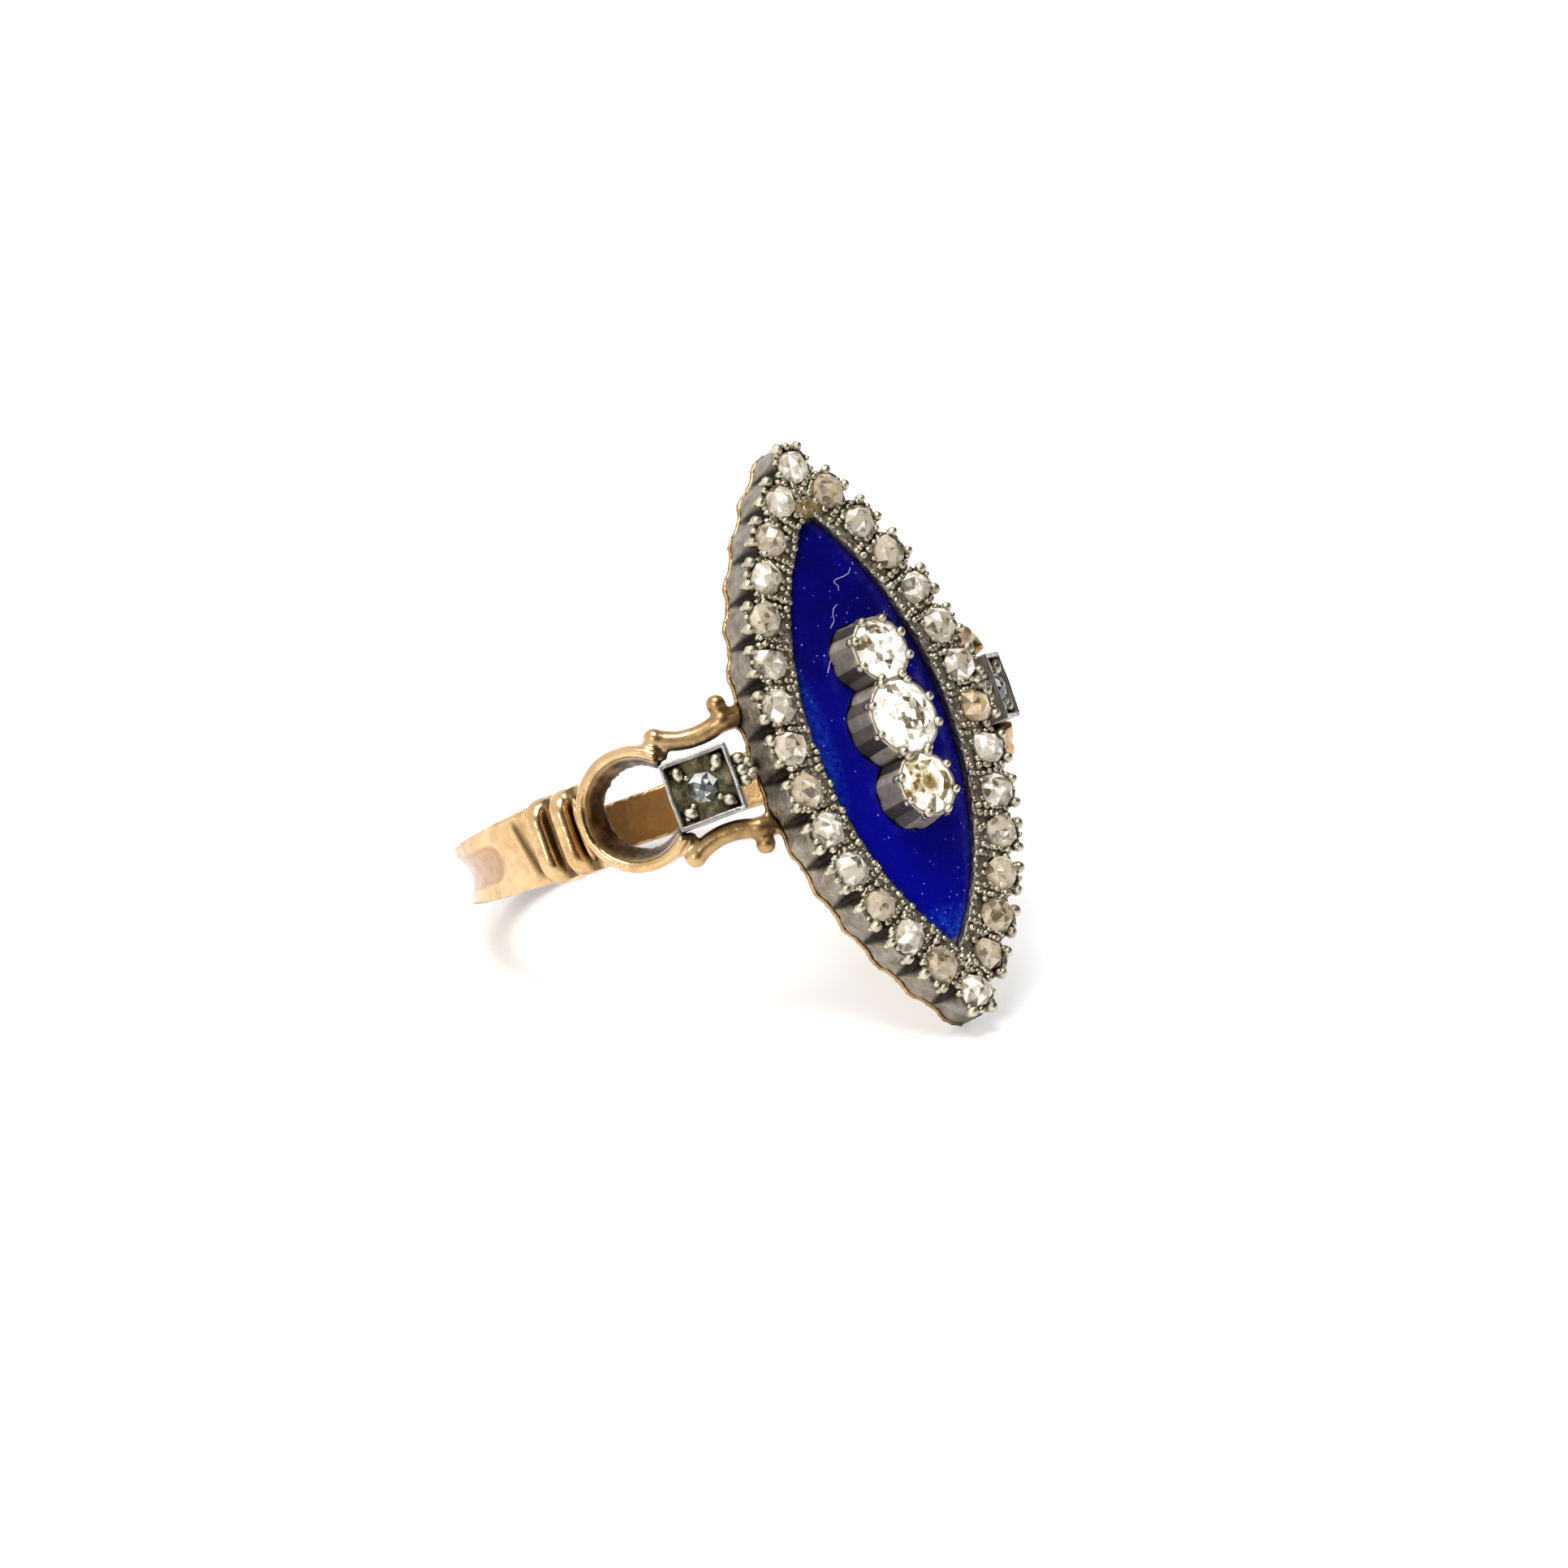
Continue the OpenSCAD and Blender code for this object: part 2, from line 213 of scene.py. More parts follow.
def radius_of(tree, where):
    """Distance from the Z axis of those coordinates."""
    flat = add(tree, "VectorMath", {0: where, 1: (1, 1, 0)}, operation="MULTIPLY").outputs["Vector"]
    return add(tree, "VectorMath", {0: flat}, operation="LENGTH").outputs["Value"]


def distance(tree, where, point):
    """Distance of those coordinates from a point."""
    return add(tree, "VectorMath", {0: where, 1: point}, operation="DISTANCE").outputs["Value"]


def grain(tree, where, scale, detail=3.0, rough=0.6):
    """Plain noise from 0 to 1; scale is in cycles per millimetre."""
    return add(tree, "TexNoise", {"Vector": where, "Scale": scale, "Detail": detail,
                                  "Roughness": rough}).outputs["Fac"]


def carried(tree, name):
    """A number that the mesh itself carries on its faces or points."""
    return add(tree, "Attribute", attribute_name=name).outputs["Fac"]


def hollows(tree, reach, low, high):
    """1 deep in a hollow or crease and 0 on open metal; reach is in millimetres."""
    open_sky = add(tree, "AmbientOcclusion", {"Distance": reach * MM}, samples=8).outputs["AO"]
    return spread(tree, open_sky, low, high, 1.0, 0.0)


def soft_edges(tree, radius, height, strength, depth):
    """A normal with rounded edges, and bumps of that height map on top."""
    rounded = add(tree, "Bevel", {"Radius": radius * MM}, samples=6).outputs["Normal"]
    return add(tree, "Bump", {"Height": height, "Strength": strength, "Distance": depth * MM,
                              "Normal": rounded}).outputs["Normal"]


print("pattern helpers ready")

# %% [markdown]
# ## Worn gold: its places
# Gold of this age is polished on every part that a finger rubs and is darker elsewhere, partly from brown
# dirt and partly from painted shade. The darkening could be painted by hand. Here rules in millimetres find
# the larger places: painted shade on the wall inside each loop, in the slanted crease beyond the ribs, in
# the grooves beside the ribs and on the inside of the band; the scrolls, which are darker; and the channel
# round the band, which is pinker. Each rule gives a mask from 0 to 1.

# %% Places on the gold
BAND_R = 10.0
FINGER_R = 8.7
LOOP_INSIDE = 1.93
CHANNEL_HALF = 0.78
# Degrees from the ring's own X axis
CREASE_AT = 7.5
GROOVES_AT = (15.7, 22.2)
# Each mask grows from the first of its two millimetre values to the second
FACE_FADE = (BAND_R - 0.36, BAND_R - 0.33)
CHANNEL_FADE = (CHANNEL_HALF - 0.02, CHANNEL_HALF - 0.3)
CHANNEL_END_FADE = (0.85, 1.6)
CREASE_FADE = (0.26, 0.04)
CREASE_END_FADE = (1.3, 0.9)
GROOVE_FADE = (0.36, 0.12)
RIB_FADE = (BAND_R + 0.25, BAND_R + 0.1)
LOOP_FADE = (LOOP_INSIDE + 0.05, LOOP_INSIDE - 0.03)
LOOP_DEPTH_FADE = (-0.05, -0.45)
INSIDE_FADE = (FINGER_R + 0.12, FINGER_R + 0.05)
SCROLL_FADE = (-6.8, -8.6)


def on_left(tree, place):
    """Millimetres on a placed face of the left shoulder, also for the right one, which mirrors it."""
    axes = axes_of(tree, millimetres(tree, RING))
    left = times(tree, absolute(tree, axes["X"]), -1.0)
    folded = add(tree, "CombineXYZ", {"X": left, "Y": axes["Y"], "Z": axes["Z"]}).outputs["Vector"]
    where, facing, _ = (place.inverted() @ RING).decompose()
    return add(tree, "Mapping", {"Vector": folded, "Location": where,
                                 "Rotation": facing.to_euler()}).outputs["Vector"]


def along_band(tree, axes, angle):
    """Millimetres along the band from the line across it at that angle."""
    from_x = times(tree, absolute(tree, axes["X"]), sin(radians(angle)))
    return combine(tree, "ADD", from_x, times(tree, axes["Y"], cos(radians(angle))))


def gold_places(tree):
    """The masks, by name."""
    ring = millimetres(tree, RING)
    axes = axes_of(tree, ring)
    from_axis = radius_of(tree, ring)
    from_middle = absolute(tree, axes["Z"])
    on_face = spread(tree, from_axis, *FACE_FADE)
    channel = times(tree, spread(tree, from_middle, *CHANNEL_FADE), on_face,
                    spread(tree, axes["Y"], *CHANNEL_END_FADE))
    slant = spread(tree, axes["Z"], -1.2, 1.2, -0.02, 0.58)
    off_crease = absolute(tree, combine(tree, "SUBTRACT", along_band(tree, axes, CREASE_AT), slant))
    # Painted shade: a dark slanted line in the crease beyond the ribs
    crease_shade = times(tree, spread(tree, off_crease, *CREASE_FADE, 0.0, 0.95), on_face,
                   spread(tree, from_middle, *CREASE_END_FADE))
    off_grooves = [absolute(tree, along_band(tree, axes, angle)) for angle in GROOVES_AT]
    off_groove = combine(tree, "MINIMUM", *off_grooves)
    # Painted shade in the grooves beside the ribs
    groove = times(tree, spread(tree, off_groove, *GROOVE_FADE, 0.0, 0.8), on_face,
                   spread(tree, from_axis, *RIB_FADE))
    loop = on_left(tree, LEFT_LOOP)
    # Painted shade on the wall inside each loop
    loop_wall_shade = times(tree, spread(tree, radius_of(tree, loop), *LOOP_FADE),
                    spread(tree, axes_of(tree, loop)["Z"], *LOOP_DEPTH_FADE))
    # Painted shade on the inside of the band
    inside_shade = spread(tree, from_axis, *INSIDE_FADE, 0.0, 0.62)
    return {"channel": channel, "crease_shade": crease_shade, "groove": groove, "loop": loop_wall_shade, "inside_shade": inside_shade,
            "scroll": spread(tree, axes["Y"], *SCROLL_FADE)}


print("gold is laid out round a band of radius", BAND_R, "mm")

# %% [markdown]
# ## Worn gold: the metal
# Ambient occlusion finds tight hollows, which get painted shade that is almost black, and wider ones,
# which are painted brown as dirt and shade at once. Patchy noise breaks up every layer, so that no mask
# shows its edge. The dirt and the painted shade are rougher than gold, and shallow dents bend the
# reflections.

# %% Gold
RED_GOLD = (0.70, 0.44, 0.20)
YELLOW_GOLD = (0.80, 0.56, 0.30)
CHANNEL_PINK = (0.54, 0.32, 0.19)
CHANNEL_EDGE = (0.40, 0.20, 0.07)
# Brown of dirt and of painted shade
BROWN_DIRT_AND_SHADE = (0.26, 0.155, 0.06)
# Painted shade, almost black, on the wall inside each loop
LOOP_SHADE = (0.055, 0.026, 0.010)
# Painted shade, darkest, in tight hollows, the grooves and the crease
DEEP_SHADE = (0.035, 0.018, 0.007)


def worn_gold():
    made, tree, metal = finish_named("worn_gold")
    where = millimetres(tree)
    patchy = grain(tree, where, 1.6, 5.0)
    fine = grain(tree, where, 9.0, 4.0)
    place = gold_places(tree)

    golden = blend(tree, spread(tree, grain(tree, where, 0.6), 0.35, 0.65), RED_GOLD, YELLOW_GOLD)
    golden = blend(tree, place["channel"], golden, CHANNEL_PINK)
    edge = times(tree, place["channel"], combine(tree, "SUBTRACT", 1.0, place["channel"]))
    golden = blend(tree, spread(tree, edge, 0.05, 0.25, 0.0, 0.6), golden, CHANNEL_EDGE)

    # Dirt and painted shade in wide hollows, painted shade on the walls of the loops and the band
    wide = times(tree, hollows(tree, 1.8, 0.15, 0.9), spread(tree, patchy, 0.35, 0.6, 0.45, 1.0))
    wall_shade = largest(tree, place["loop"], place["inside_shade"])
    wall_shade = times(tree, wall_shade, spread(tree, patchy, 0.3, 0.6, 0.6, 1.0))
    film = times(tree, spread(tree, patchy, 0.46, 0.66), 0.35)
    scrolls = times(tree, place["scroll"], spread(tree, patchy, 0.3, 0.62, 0.3, 0.85))
    dirt_and_shade = largest(tree, wide, wall_shade, film, scrolls, place["crease_shade"])
    golden = blend(tree, dirt_and_shade, golden, BROWN_DIRT_AND_SHADE)

    # Painted shade inside each loop
    loop_shade = times(tree, place["loop"], spread(tree, patchy, 0.36, 0.58, 0.55, 1.0))
    golden = blend(tree, loop_shade, golden, LOOP_SHADE)
    # Painted shade in tight hollows, the grooves and the crease
    tight_shade = times(tree, hollows(tree, 0.55, 0.25, 0.8), spread(tree, fine, 0.2, 0.5, 0.7, 1.0))
    tight_shade = largest(tree, tight_shade, place["groove"], times(tree, place["crease_shade"], 0.55))
    golden = blend(tree, tight_shade, golden, DEEP_SHADE)

    dents = combine(tree, "ADD", grain(tree, where, 1.8, 2.0), times(tree, fine, 0.35))
    fill(tree, metal, {"Base Color": golden, "Metallic": 1.0,
                       "Roughness": spread(tree, largest(tree, dirt_and_shade, tight_shade), 0.0, 1.0, 0.19, 0.45),
                       "Normal": soft_edges(tree, 0.05, dents, 0.4, 0.05)})
    return made


GOLD = worn_gold()
print(GOLD.name, len(GOLD.node_tree.nodes), "nodes")

# %% [markdown]
# ## Tarnished silver and painted shade
# Silver goes grey-brown where nothing rubs it, almost black in its grooves. The setter's tool marks
# catch the light, so the bump is coarse, and open edges are brighter than hollows. The same recipe
# with other numbers gives the rubbed beads, the bright rims and the dark floors. Two numbers come with
# the mesh where it carries them: one paints shade black into the graver cuts, and one paints light and
# shade on single flutes.

# %% Silver
# Black of patina in grooves and of painted shade in graver cuts
BLACK_PATINA_AND_SHADE = (0.012, 0.009, 0.006)
PLUM = (1.3, 0.9, 1.0)
OLIVE = (1.1, 1.1, 0.7)


def tinted(colour, tint):
    return tuple(x * y for x, y in zip(colour, tint))


def tarnished_silver_with_painted_shade(name, bright, dark, roughness, marks, reach, cover, metallic=1.0, uneven=0.0):
    """marks is the strength of the tool marks, reach how far in millimetres the patina spreads from a
    hollow, cover how much of the open metal it mottles, and uneven how far the painted light and shade of
    single flutes differ."""
    made, tree, metal = finish_named(name)
    where = millimetres(tree)
    mottled = times(tree, spread(tree, grain(tree, where, 2.2, 7.0), 0.34, 0.66), cover)
    patina = largest(tree, hollows(tree, reach, 0.15, 0.85), mottled)
    clouds = spread(tree, grain(tree, where, 0.8), 0.4, 0.6)
    stain = blend(tree, clouds, tinted(dark, OLIVE), tinted(dark, PLUM))
    grey = blend(tree, patina, bright, stain)
    # Painted light and shade: single flutes lighter or darker by their own number
    if uneven:
        grey = blend(tree, spread(tree, carried(tree, "facet_light"), 0.0, 1.0, uneven, 0.0), grey, dark)
    # Patina blackens the grooves, and painted shade blackens the graver cuts
    black_patina_and_shade = largest(tree, hollows(tree, 0.5 * reach, 0.1, 0.6), times(tree, carried(tree, "cut"), 0.93))
    cuts = combine(tree, "ADD", grain(tree, where, 4.5, 5.0), times(tree, grain(tree, where, 15.0), 0.4))
    fill(tree, metal, {"Base Color": blend(tree, black_patina_and_shade, grey, BLACK_PATINA_AND_SHADE), "Metallic": metallic,
                       "Roughness": spread(tree, patina, 0.0, 1.0, roughness, roughness + 0.25),
                       "Normal": soft_edges(tree, 0.04, cuts, marks, 0.09)})
    return made


SILVER = tarnished_silver_with_painted_shade("tarnished_silver_with_painted_shade", (0.44, 0.39, 0.32), (0.07, 0.06, 0.045),
                          roughness=0.28, marks=0.9, reach=0.8, cover=0.65)
BEAD_SILVER = tarnished_silver_with_painted_shade("rubbed_bead_silver", (0.78, 0.71, 0.54), (0.12, 0.10, 0.05),
                               roughness=0.2, marks=0.6, reach=0.35, cover=0.5)
RIM_SILVER = tarnished_silver_with_painted_shade("rubbed_rim_silver", (0.52, 0.51, 0.48), (0.14, 0.13, 0.12),
                              roughness=0.25, marks=0.3, reach=0.4, cover=0.6)
FLOOR_SILVER = tarnished_silver_with_painted_shade("dark_floor_silver", (0.25, 0.22, 0.13), (0.03, 0.025, 0.012),
                                roughness=0.3, marks=1.0, reach=0.7, cover=0.8)
# Its flutes get painted light and shade
COLLET_SILVER = tarnished_silver_with_painted_shade("collet_silver", (0.80, 0.69, 0.54), (0.05, 0.04, 0.03),
                                 roughness=0.3, marks=0.4, reach=0.5, cover=0.5, metallic=0.55, uneven=0.95)
print([finish.name for finish in (SILVER, BEAD_SILVER, RIM_SILVER, FLOOR_SILVER, COLLET_SILVER)])

# %% [markdown]
# ## Blue enamel
# Enamel is coloured glass melted on metal. It is deep blue with fine pits and specks. It is paler in a
# strip near its left edge and at the lower tip, where the glass is thin and a chip shows pink. Brown
# cement fills its upper tip. The pattern belongs to the head, so it is laid out on the head's face.

# %% Enamel
DARK_BLUE = (0.0014, 0.0010, 0.11)
DEEP_BLUE = (0.0025, 0.0018, 0.20)
LOWER_BLUE = (0.0018, 0.0022, 0.33)
THIN_BLUE = (0.012, 0.09, 0.75)
LILAC_FLECK = (0.46, 0.40, 0.90)
CHIP_PINK = (0.55, 0.36, 0.34)
DARK_CEMENT = (0.12, 0.07, 0.02)
PALE_CEMENT = (0.36, 0.24, 0.10)
CHIP_AT = (0.25, -8.3, -0.1)
# Each layer grows from the first of its two millimetre values to the second
LOWER_FADE = (3.0, -7.0)
STRIP_FADE = (-2.2, -2.75)
THIN_FADE = (-6.7, -7.5)
CHIP_FADE = (0.45, 0.25)
CEMENT_FADE = (8.3, 8.42)
# How far the left strip bends with the edge, per square millimetre along the head
STRIP_BEND = 0.034


def blue_enamel():
    made, tree, glass = finish_named("blue_enamel")
    face = millimetres(tree, HEAD)
    axes = axes_of(tree, face)
    across, along = axes["X"], axes["Y"]
    streaks = grain(tree, face, 5.0, 6.0, 0.75)

    blue = blend(tree, spread(tree, grain(tree, face, 0.45, 5.0), 0.35, 0.65), DARK_BLUE, DEEP_BLUE)
    blue = blend(tree, spread(tree, along, *LOWER_FADE), blue, LOWER_BLUE)
    bent = combine(tree, "ADD", across, times(tree, along, along, STRIP_BEND))
    left_strip = times(tree, spread(tree, bent, *STRIP_FADE, 0.0, 0.7), spread(tree, streaks, 0.4, 0.65))
    thin = times(tree, spread(tree, along, *THIN_FADE), spread(tree, streaks, 0.42, 0.6))
    blue = blend(tree, times(tree, largest(tree, left_strip, thin), 0.8), blue, THIN_BLUE)

    off_fleck = add(tree, "TexVoronoi", {"Vector": face, "Scale": 3.4}).outputs["Distance"]
    fleck = times(tree, spread(tree, off_fleck, 0.06, 0.14, 1.0, 0.0),
                  spread(tree, grain(tree, face, 0.9), 0.48, 0.58))
    blue = blend(tree, fleck, blue, LILAC_FLECK)
    blue = blend(tree, spread(tree, distance(tree, face, CHIP_AT), *CHIP_FADE), blue, CHIP_PINK)

    uneven_along = combine(tree, "ADD", along, times(tree, streaks, 0.5))
    cement = spread(tree, uneven_along, *CEMENT_FADE)
    putty = blend(tree, spread(tree, grain(tree, face, 3.0, 4.0), 0.4, 0.6), DARK_CEMENT, PALE_CEMENT)
    wavy = combine(tree, "ADD", grain(tree, face, 0.8, 2.0), times(tree, grain(tree, face, 7.0, 5.0), 0.2))
    fill(tree, glass, {"Base Color": blend(tree, cement, blue, putty), "IOR": 1.38,
                       "Roughness": spread(tree, largest(tree, cement, streaks), 0.3, 1.0, 0.17, 0.45),
                       "Normal": soft_edges(tree, 0.05, wavy, 0.35, 0.06)})
    return made


ENAMEL = blue_enamel()
print(ENAMEL.name, len(ENAMEL.node_tree.nodes), "nodes")

# %% [markdown]
# ## Diamond
# A real diamond shows a broken mirror of its surroundings, and each facet a different piece of it.
# Tracing that light needs many bounces, so here each facet carries its own number, a painted reflection
# that picks how bright it looks, and another that yellows the stone. A glossy surface lies over it, and a
# faint painted glow stands for the light that comes back out of the stone.

# %% Diamond
YELLOWED = (1.0, 0.78, 0.50)
HEART_FADE = (0.22, 0.58)


def diamond(name, shades, inner, share, glow, heart=None):
    """shades are (number, colour) stops for the painted reflection. inner is how many cells of painted
    inner reflection a millimetre holds, and share how much they change a facet. heart is the middle of a
    darker spot in the painted reflection."""
    made, tree, glass = finish_named(name)
    where = millimetres(tree, HEAD)
    cells = add(tree, "TexVoronoi", {"Vector": where, "Scale": inner},
                distance="CHEBYCHEV").outputs["Color"]
    # Painted inner reflections from noise and a grid of cells
    mottled_reflection = times(tree, combine(tree, "SUBTRACT", grain(tree, where, 4.0, 5.0, 0.7), 0.5), 0.5)
    mirrored = times(tree, combine(tree, "SUBTRACT", cells, 0.5), share)
    glint = combine(tree, "ADD", carried(tree, "facet_light"), combine(tree, "ADD", mirrored, mottled_reflection))
    if heart:
        glint = times(tree, glint, spread(tree, distance(tree, where, heart), *HEART_FADE, 0.15, 1.0))
    ramp = add(tree, "ValToRGB", {"Fac": glint})
    stops = ramp.color_ramp.elements
    while len(stops) < len(shades):
        stops.new(0.5)
    for stop, (number, shade) in zip(stops, shades):
        stop.position = number
        stop.color = (*shade, 1)
    light = blend(tree, carried(tree, "warmth"), ramp.outputs["Color"], YELLOWED, "MULTIPLY")
    fill(tree, glass, {"Base Color": light, "Emission Color": light, "Emission Strength": glow,
                       "Roughness": 0.06, "IOR": 1.9})
    return made


# Stops of painted reflection, from dark facets to bright ones
ROSE_SHADES = [(0.0, (0.12, 0.10, 0.06)), (0.22, (0.42, 0.37, 0.28)),
               (0.74, (0.60, 0.53, 0.42)), (0.92, (1.0, 0.98, 0.94))]
OLD_SHADES = [(0.08, (0.12, 0.09, 0.05)), (0.24, (0.42, 0.36, 0.26)),
              (0.48, (0.84, 0.78, 0.67)), (0.60, (1.0, 0.99, 0.96))]
YELLOW_SHADES = [(0.08, (0.15, 0.10, 0.02)), (0.26, (0.48, 0.38, 0.20)),
                 (0.48, (0.84, 0.77, 0.63)), (0.60, (1.0, 0.99, 0.95))]
GREY_SHADES = [(0.05, (0.03, 0.03, 0.03)), (0.4, (0.095, 0.10, 0.10)),
               (0.7, (0.20, 0.21, 0.21)), (0.9, (0.85, 0.86, 0.82))]
ROSE_DIAMOND = diamond("rose_cut_diamond", ROSE_SHADES, inner=4.2, share=0.65, glow=0.24)
WHITE_DIAMOND = diamond("old_cut_diamond", OLD_SHADES, inner=4.4, share=0.9, glow=0.35)
HEART_DIAMOND = diamond("yellow_hearted_diamond", YELLOW_SHADES, inner=4.4, share=0.9, glow=0.35,
                        heart=(-0.14, -2.6, 1.6))
GREY_DIAMOND = diamond("grey_box_diamond", GREY_SHADES, inner=2.5, share=0.45, glow=0.08)
print([finish.name for finish in (ROSE_DIAMOND, WHITE_DIAMOND, HEART_DIAMOND, GREY_DIAMOND)])

# %% [markdown]
# ## Dressing the CAD nodes
# A CAD node keeps its mesh and place. Its look changes by putting a new material in its slot.

# %% Materials on the nodes
NODE_FINISHES = {"shank": GOLD, "silver_border": SILVER, "centre_collets": COLLET_SILVER,
                 "left_box": RIM_SILVER, "right_box": RIM_SILVER, "enamel": ENAMEL}
for node_name, finish in NODE_FINISHES.items():
    node_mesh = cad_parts[node_name].data
    node_mesh.materials.clear()
    node_mesh.materials.append(finish)
print("dressed:", list(NODE_FINISHES))

# %% [markdown]
# ## A helper for new pieces
# A piece is shaped in millimetres in a bmesh, then moved to its place in metres. Its object stays at
# the origin, rides on the one body, and names the material slot that it belongs to.


# %% Finished pieces
def mesh_of(name, shape):
    """A mesh made from a bmesh, which is then freed."""
    made = bpy.data.meshes.new(name)
    shape.to_mesh(made)
    shape.free()
    return made


def finished(name, shape, place, material, smooth=False, instead_of=None):
    """Turns a bmesh in a face's millimetres into a piece of the ring, which may replace a CAD node."""
    bmesh.ops.transform(shape, matrix=place, verts=shape.verts)
    if place.determinant() < 0:
        bmesh.ops.reverse_faces(shape, faces=shape.faces)
    mesh = mesh_of(name, shape)
    mesh.materials.append(material)
    if smooth:
        mesh.shade_smooth()
    else:
        mesh.shade_flat()
    piece = shown(name, mesh)
    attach(piece, "root")
    if instead_of:
        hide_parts(instead_of)


def pour(part, shape):
    """Adds a small bmesh to a large one and frees it; operators on a large one would be slow."""
    carrier = mesh_of("carrier", part)
    shape.from_mesh(carrier)
    bpy.data.meshes.remove(carrier)


print("helpers for pieces ready")

# %% [markdown]
# ## A helper for cut stones
# A stone could be a subdivided ball, but then no facet is flat. Rings of points under a convex hull
# give true facets, and a little wobble gives the uneven outline of hand-cut stones.

# %% Stones from rings of points
FLAT_WITHIN = radians(1.0)


def ring_of_points(shape, count, radius, height, start=0.0, wobble=0.0, luck=None):
    """Loose points on a circle; wobble moves each a little, as a hand-held stone on the lap does."""
    place = Matrix.Translation((0, 0, height)) @ turn(start, "Z")
    made = bmesh.ops.create_circle(shape, segments=count, radius=radius, matrix=place)["verts"]
    if wobble:
        for point in made:
            push = Vector((luck.uniform(-1, 1), luck.uniform(-1, 1), luck.uniform(-0.5, 0.5)))
            point.co += push * wobble


def facets_of(shape, luck, warm=0.0, bright=1.0, dull=0.0):
    """Closes the points into a cut stone and gives each flat facet a painted reflection from dull to
    bright.
    """
    hull = bmesh.ops.convex_hull(shape, input=shape.verts, use_existing_faces=False)
    buried = [part for part in hull["geom_interior"] if isinstance(part, bmesh.types.BMVert)]
    bmesh.ops.delete(shape, geom=buried, context="VERTS")
    loose = [edge for edge in shape.edges if not edge.link_faces]
    bmesh.ops.delete(shape, geom=loose, context="EDGES")
    bmesh.ops.dissolve_limit(shape, angle_limit=FLAT_WITHIN, verts=shape.verts, edges=shape.edges)
    bmesh.ops.recalc_face_normals(shape, faces=shape.faces)
    # Painted reflection: each facet's brightness
    number = shape.faces.layers.float.new("facet_light")
    warmth = shape.faces.layers.float.new("warmth")
    for face in shape.faces:
        face[number] = luck.uniform(dull, bright)
        face[warmth] = warm


print("facets within", round(degrees(FLAT_WITHIN), 1), "degree of flat are one")

# %% [markdown]
# ## The row of the border
# The border's stones follow two arcs that meet at the tips. Stone 0 sits at the upper tip, and the
# others follow clockwise. A fraction is a place between two stones.

# %% Places along the border
BORDER_COUNT = 28
SIDE_COUNT = BORDER_COUNT // 2
BORDER_HALF_L = 10.12
BORDER_HALF_W = 4.38
ARC_R = (BORDER_HALF_L ** 2 + BORDER_HALF_W ** 2) / (2 * BORDER_HALF_W)
ARC_X = ARC_R - BORDER_HALF_W
ARC_A = asin(BORDER_HALF_L / ARC_R)


def arc_angle(k):
    """Angle of place k about the centre of its arc."""
    down = k if k <= SIDE_COUNT else BORDER_COUNT - k
    return ARC_A * (1 - 2 * down / SIDE_COUNT)


def border_place(k, out=0.0):
    """A point of the row on the face, or one that lies farther out."""
    k = k % BORDER_COUNT
    side = 1 if k <= SIDE_COUNT else -1
    angle = arc_angle(k)
    return Vector((side * ((ARC_R + out) * cos(angle) - ARC_X), (ARC_R + out) * sin(angle), 0))


def border_out(k):
    """Angle on the face of the way straight out of the head at place k."""
    k = k % BORDER_COUNT
    if k % SIDE_COUNT < 0.01:
        return pi / 2 if k < 1 else -pi / 2
    angle = arc_angle(k)
    return angle if k <= SIDE_COUNT else pi - angle


print("arcs of radius", round(ARC_R, 2), "mm")

# %% [markdown]
# ## The rose-cut stones of the border
# A rose cut has a flat base and a low dome of triangles that meet at a small table. Every stone here
# has its own seed, tilt and outline. The tables name the yellower stones and the duller ones, whose
# facets get less painted reflection.

# %% Border stones
BORDER_STONE_R = 0.70
STONE_SEED = 100
STONE_LIFT = Vector((0, 0, 0.04))
STONE_TILT = 0.16
STONE_STRETCH = (0.92, 1.06)
GIRDLE_POINTS = 9
USUAL_WARM = (0.0, 0.15)
USUAL_BRIGHT = 0.95
WARM_STONES = {1: 0.4, 3: 0.2, 7: 0.8, 11: 0.3, 12: 0.4, 13: 0.3, 15: 0.35, 17: 0.3, 20: 0.35,
               24: 0.2, 26: 0.3}
DULL_STONES = {1: 0.55, 3: 0.75, 10: 0.7, 11: 0.75, 12: 0.5, 13: 0.7, 15: 0.45, 17: 0.65, 19: 0.9, 20: 0.9,
               24: 0.7, 26: 0.65}


def rose_cut(radius, luck, warm, bright):
    """A base, a girdle, a ring of five to seven points and a small table of three."""
    shape = bmesh.new()
    start = luck.uniform(0, pi)
    sides = luck.choice((5, 6, 6, 7))
    ring_of_points(shape, GIRDLE_POINTS, radius * 0.88, -0.27, start)
    ring_of_points(shape, GIRDLE_POINTS, radius, -0.05, start, wobble=0.09 * radius, luck=luck)
    ring_of_points(shape, sides, radius * luck.uniform(0.6, 0.7), radius * 0.44, start + 0.35,
                   wobble=0.1 * radius, luck=luck)
    ring_of_points(shape, 3, radius * luck.uniform(0.15, 0.3), radius * luck.uniform(0.6, 0.68), start,
                   wobble=0.05 * radius, luck=luck)
    facets_of(shape, luck, warm, bright)
    return shape


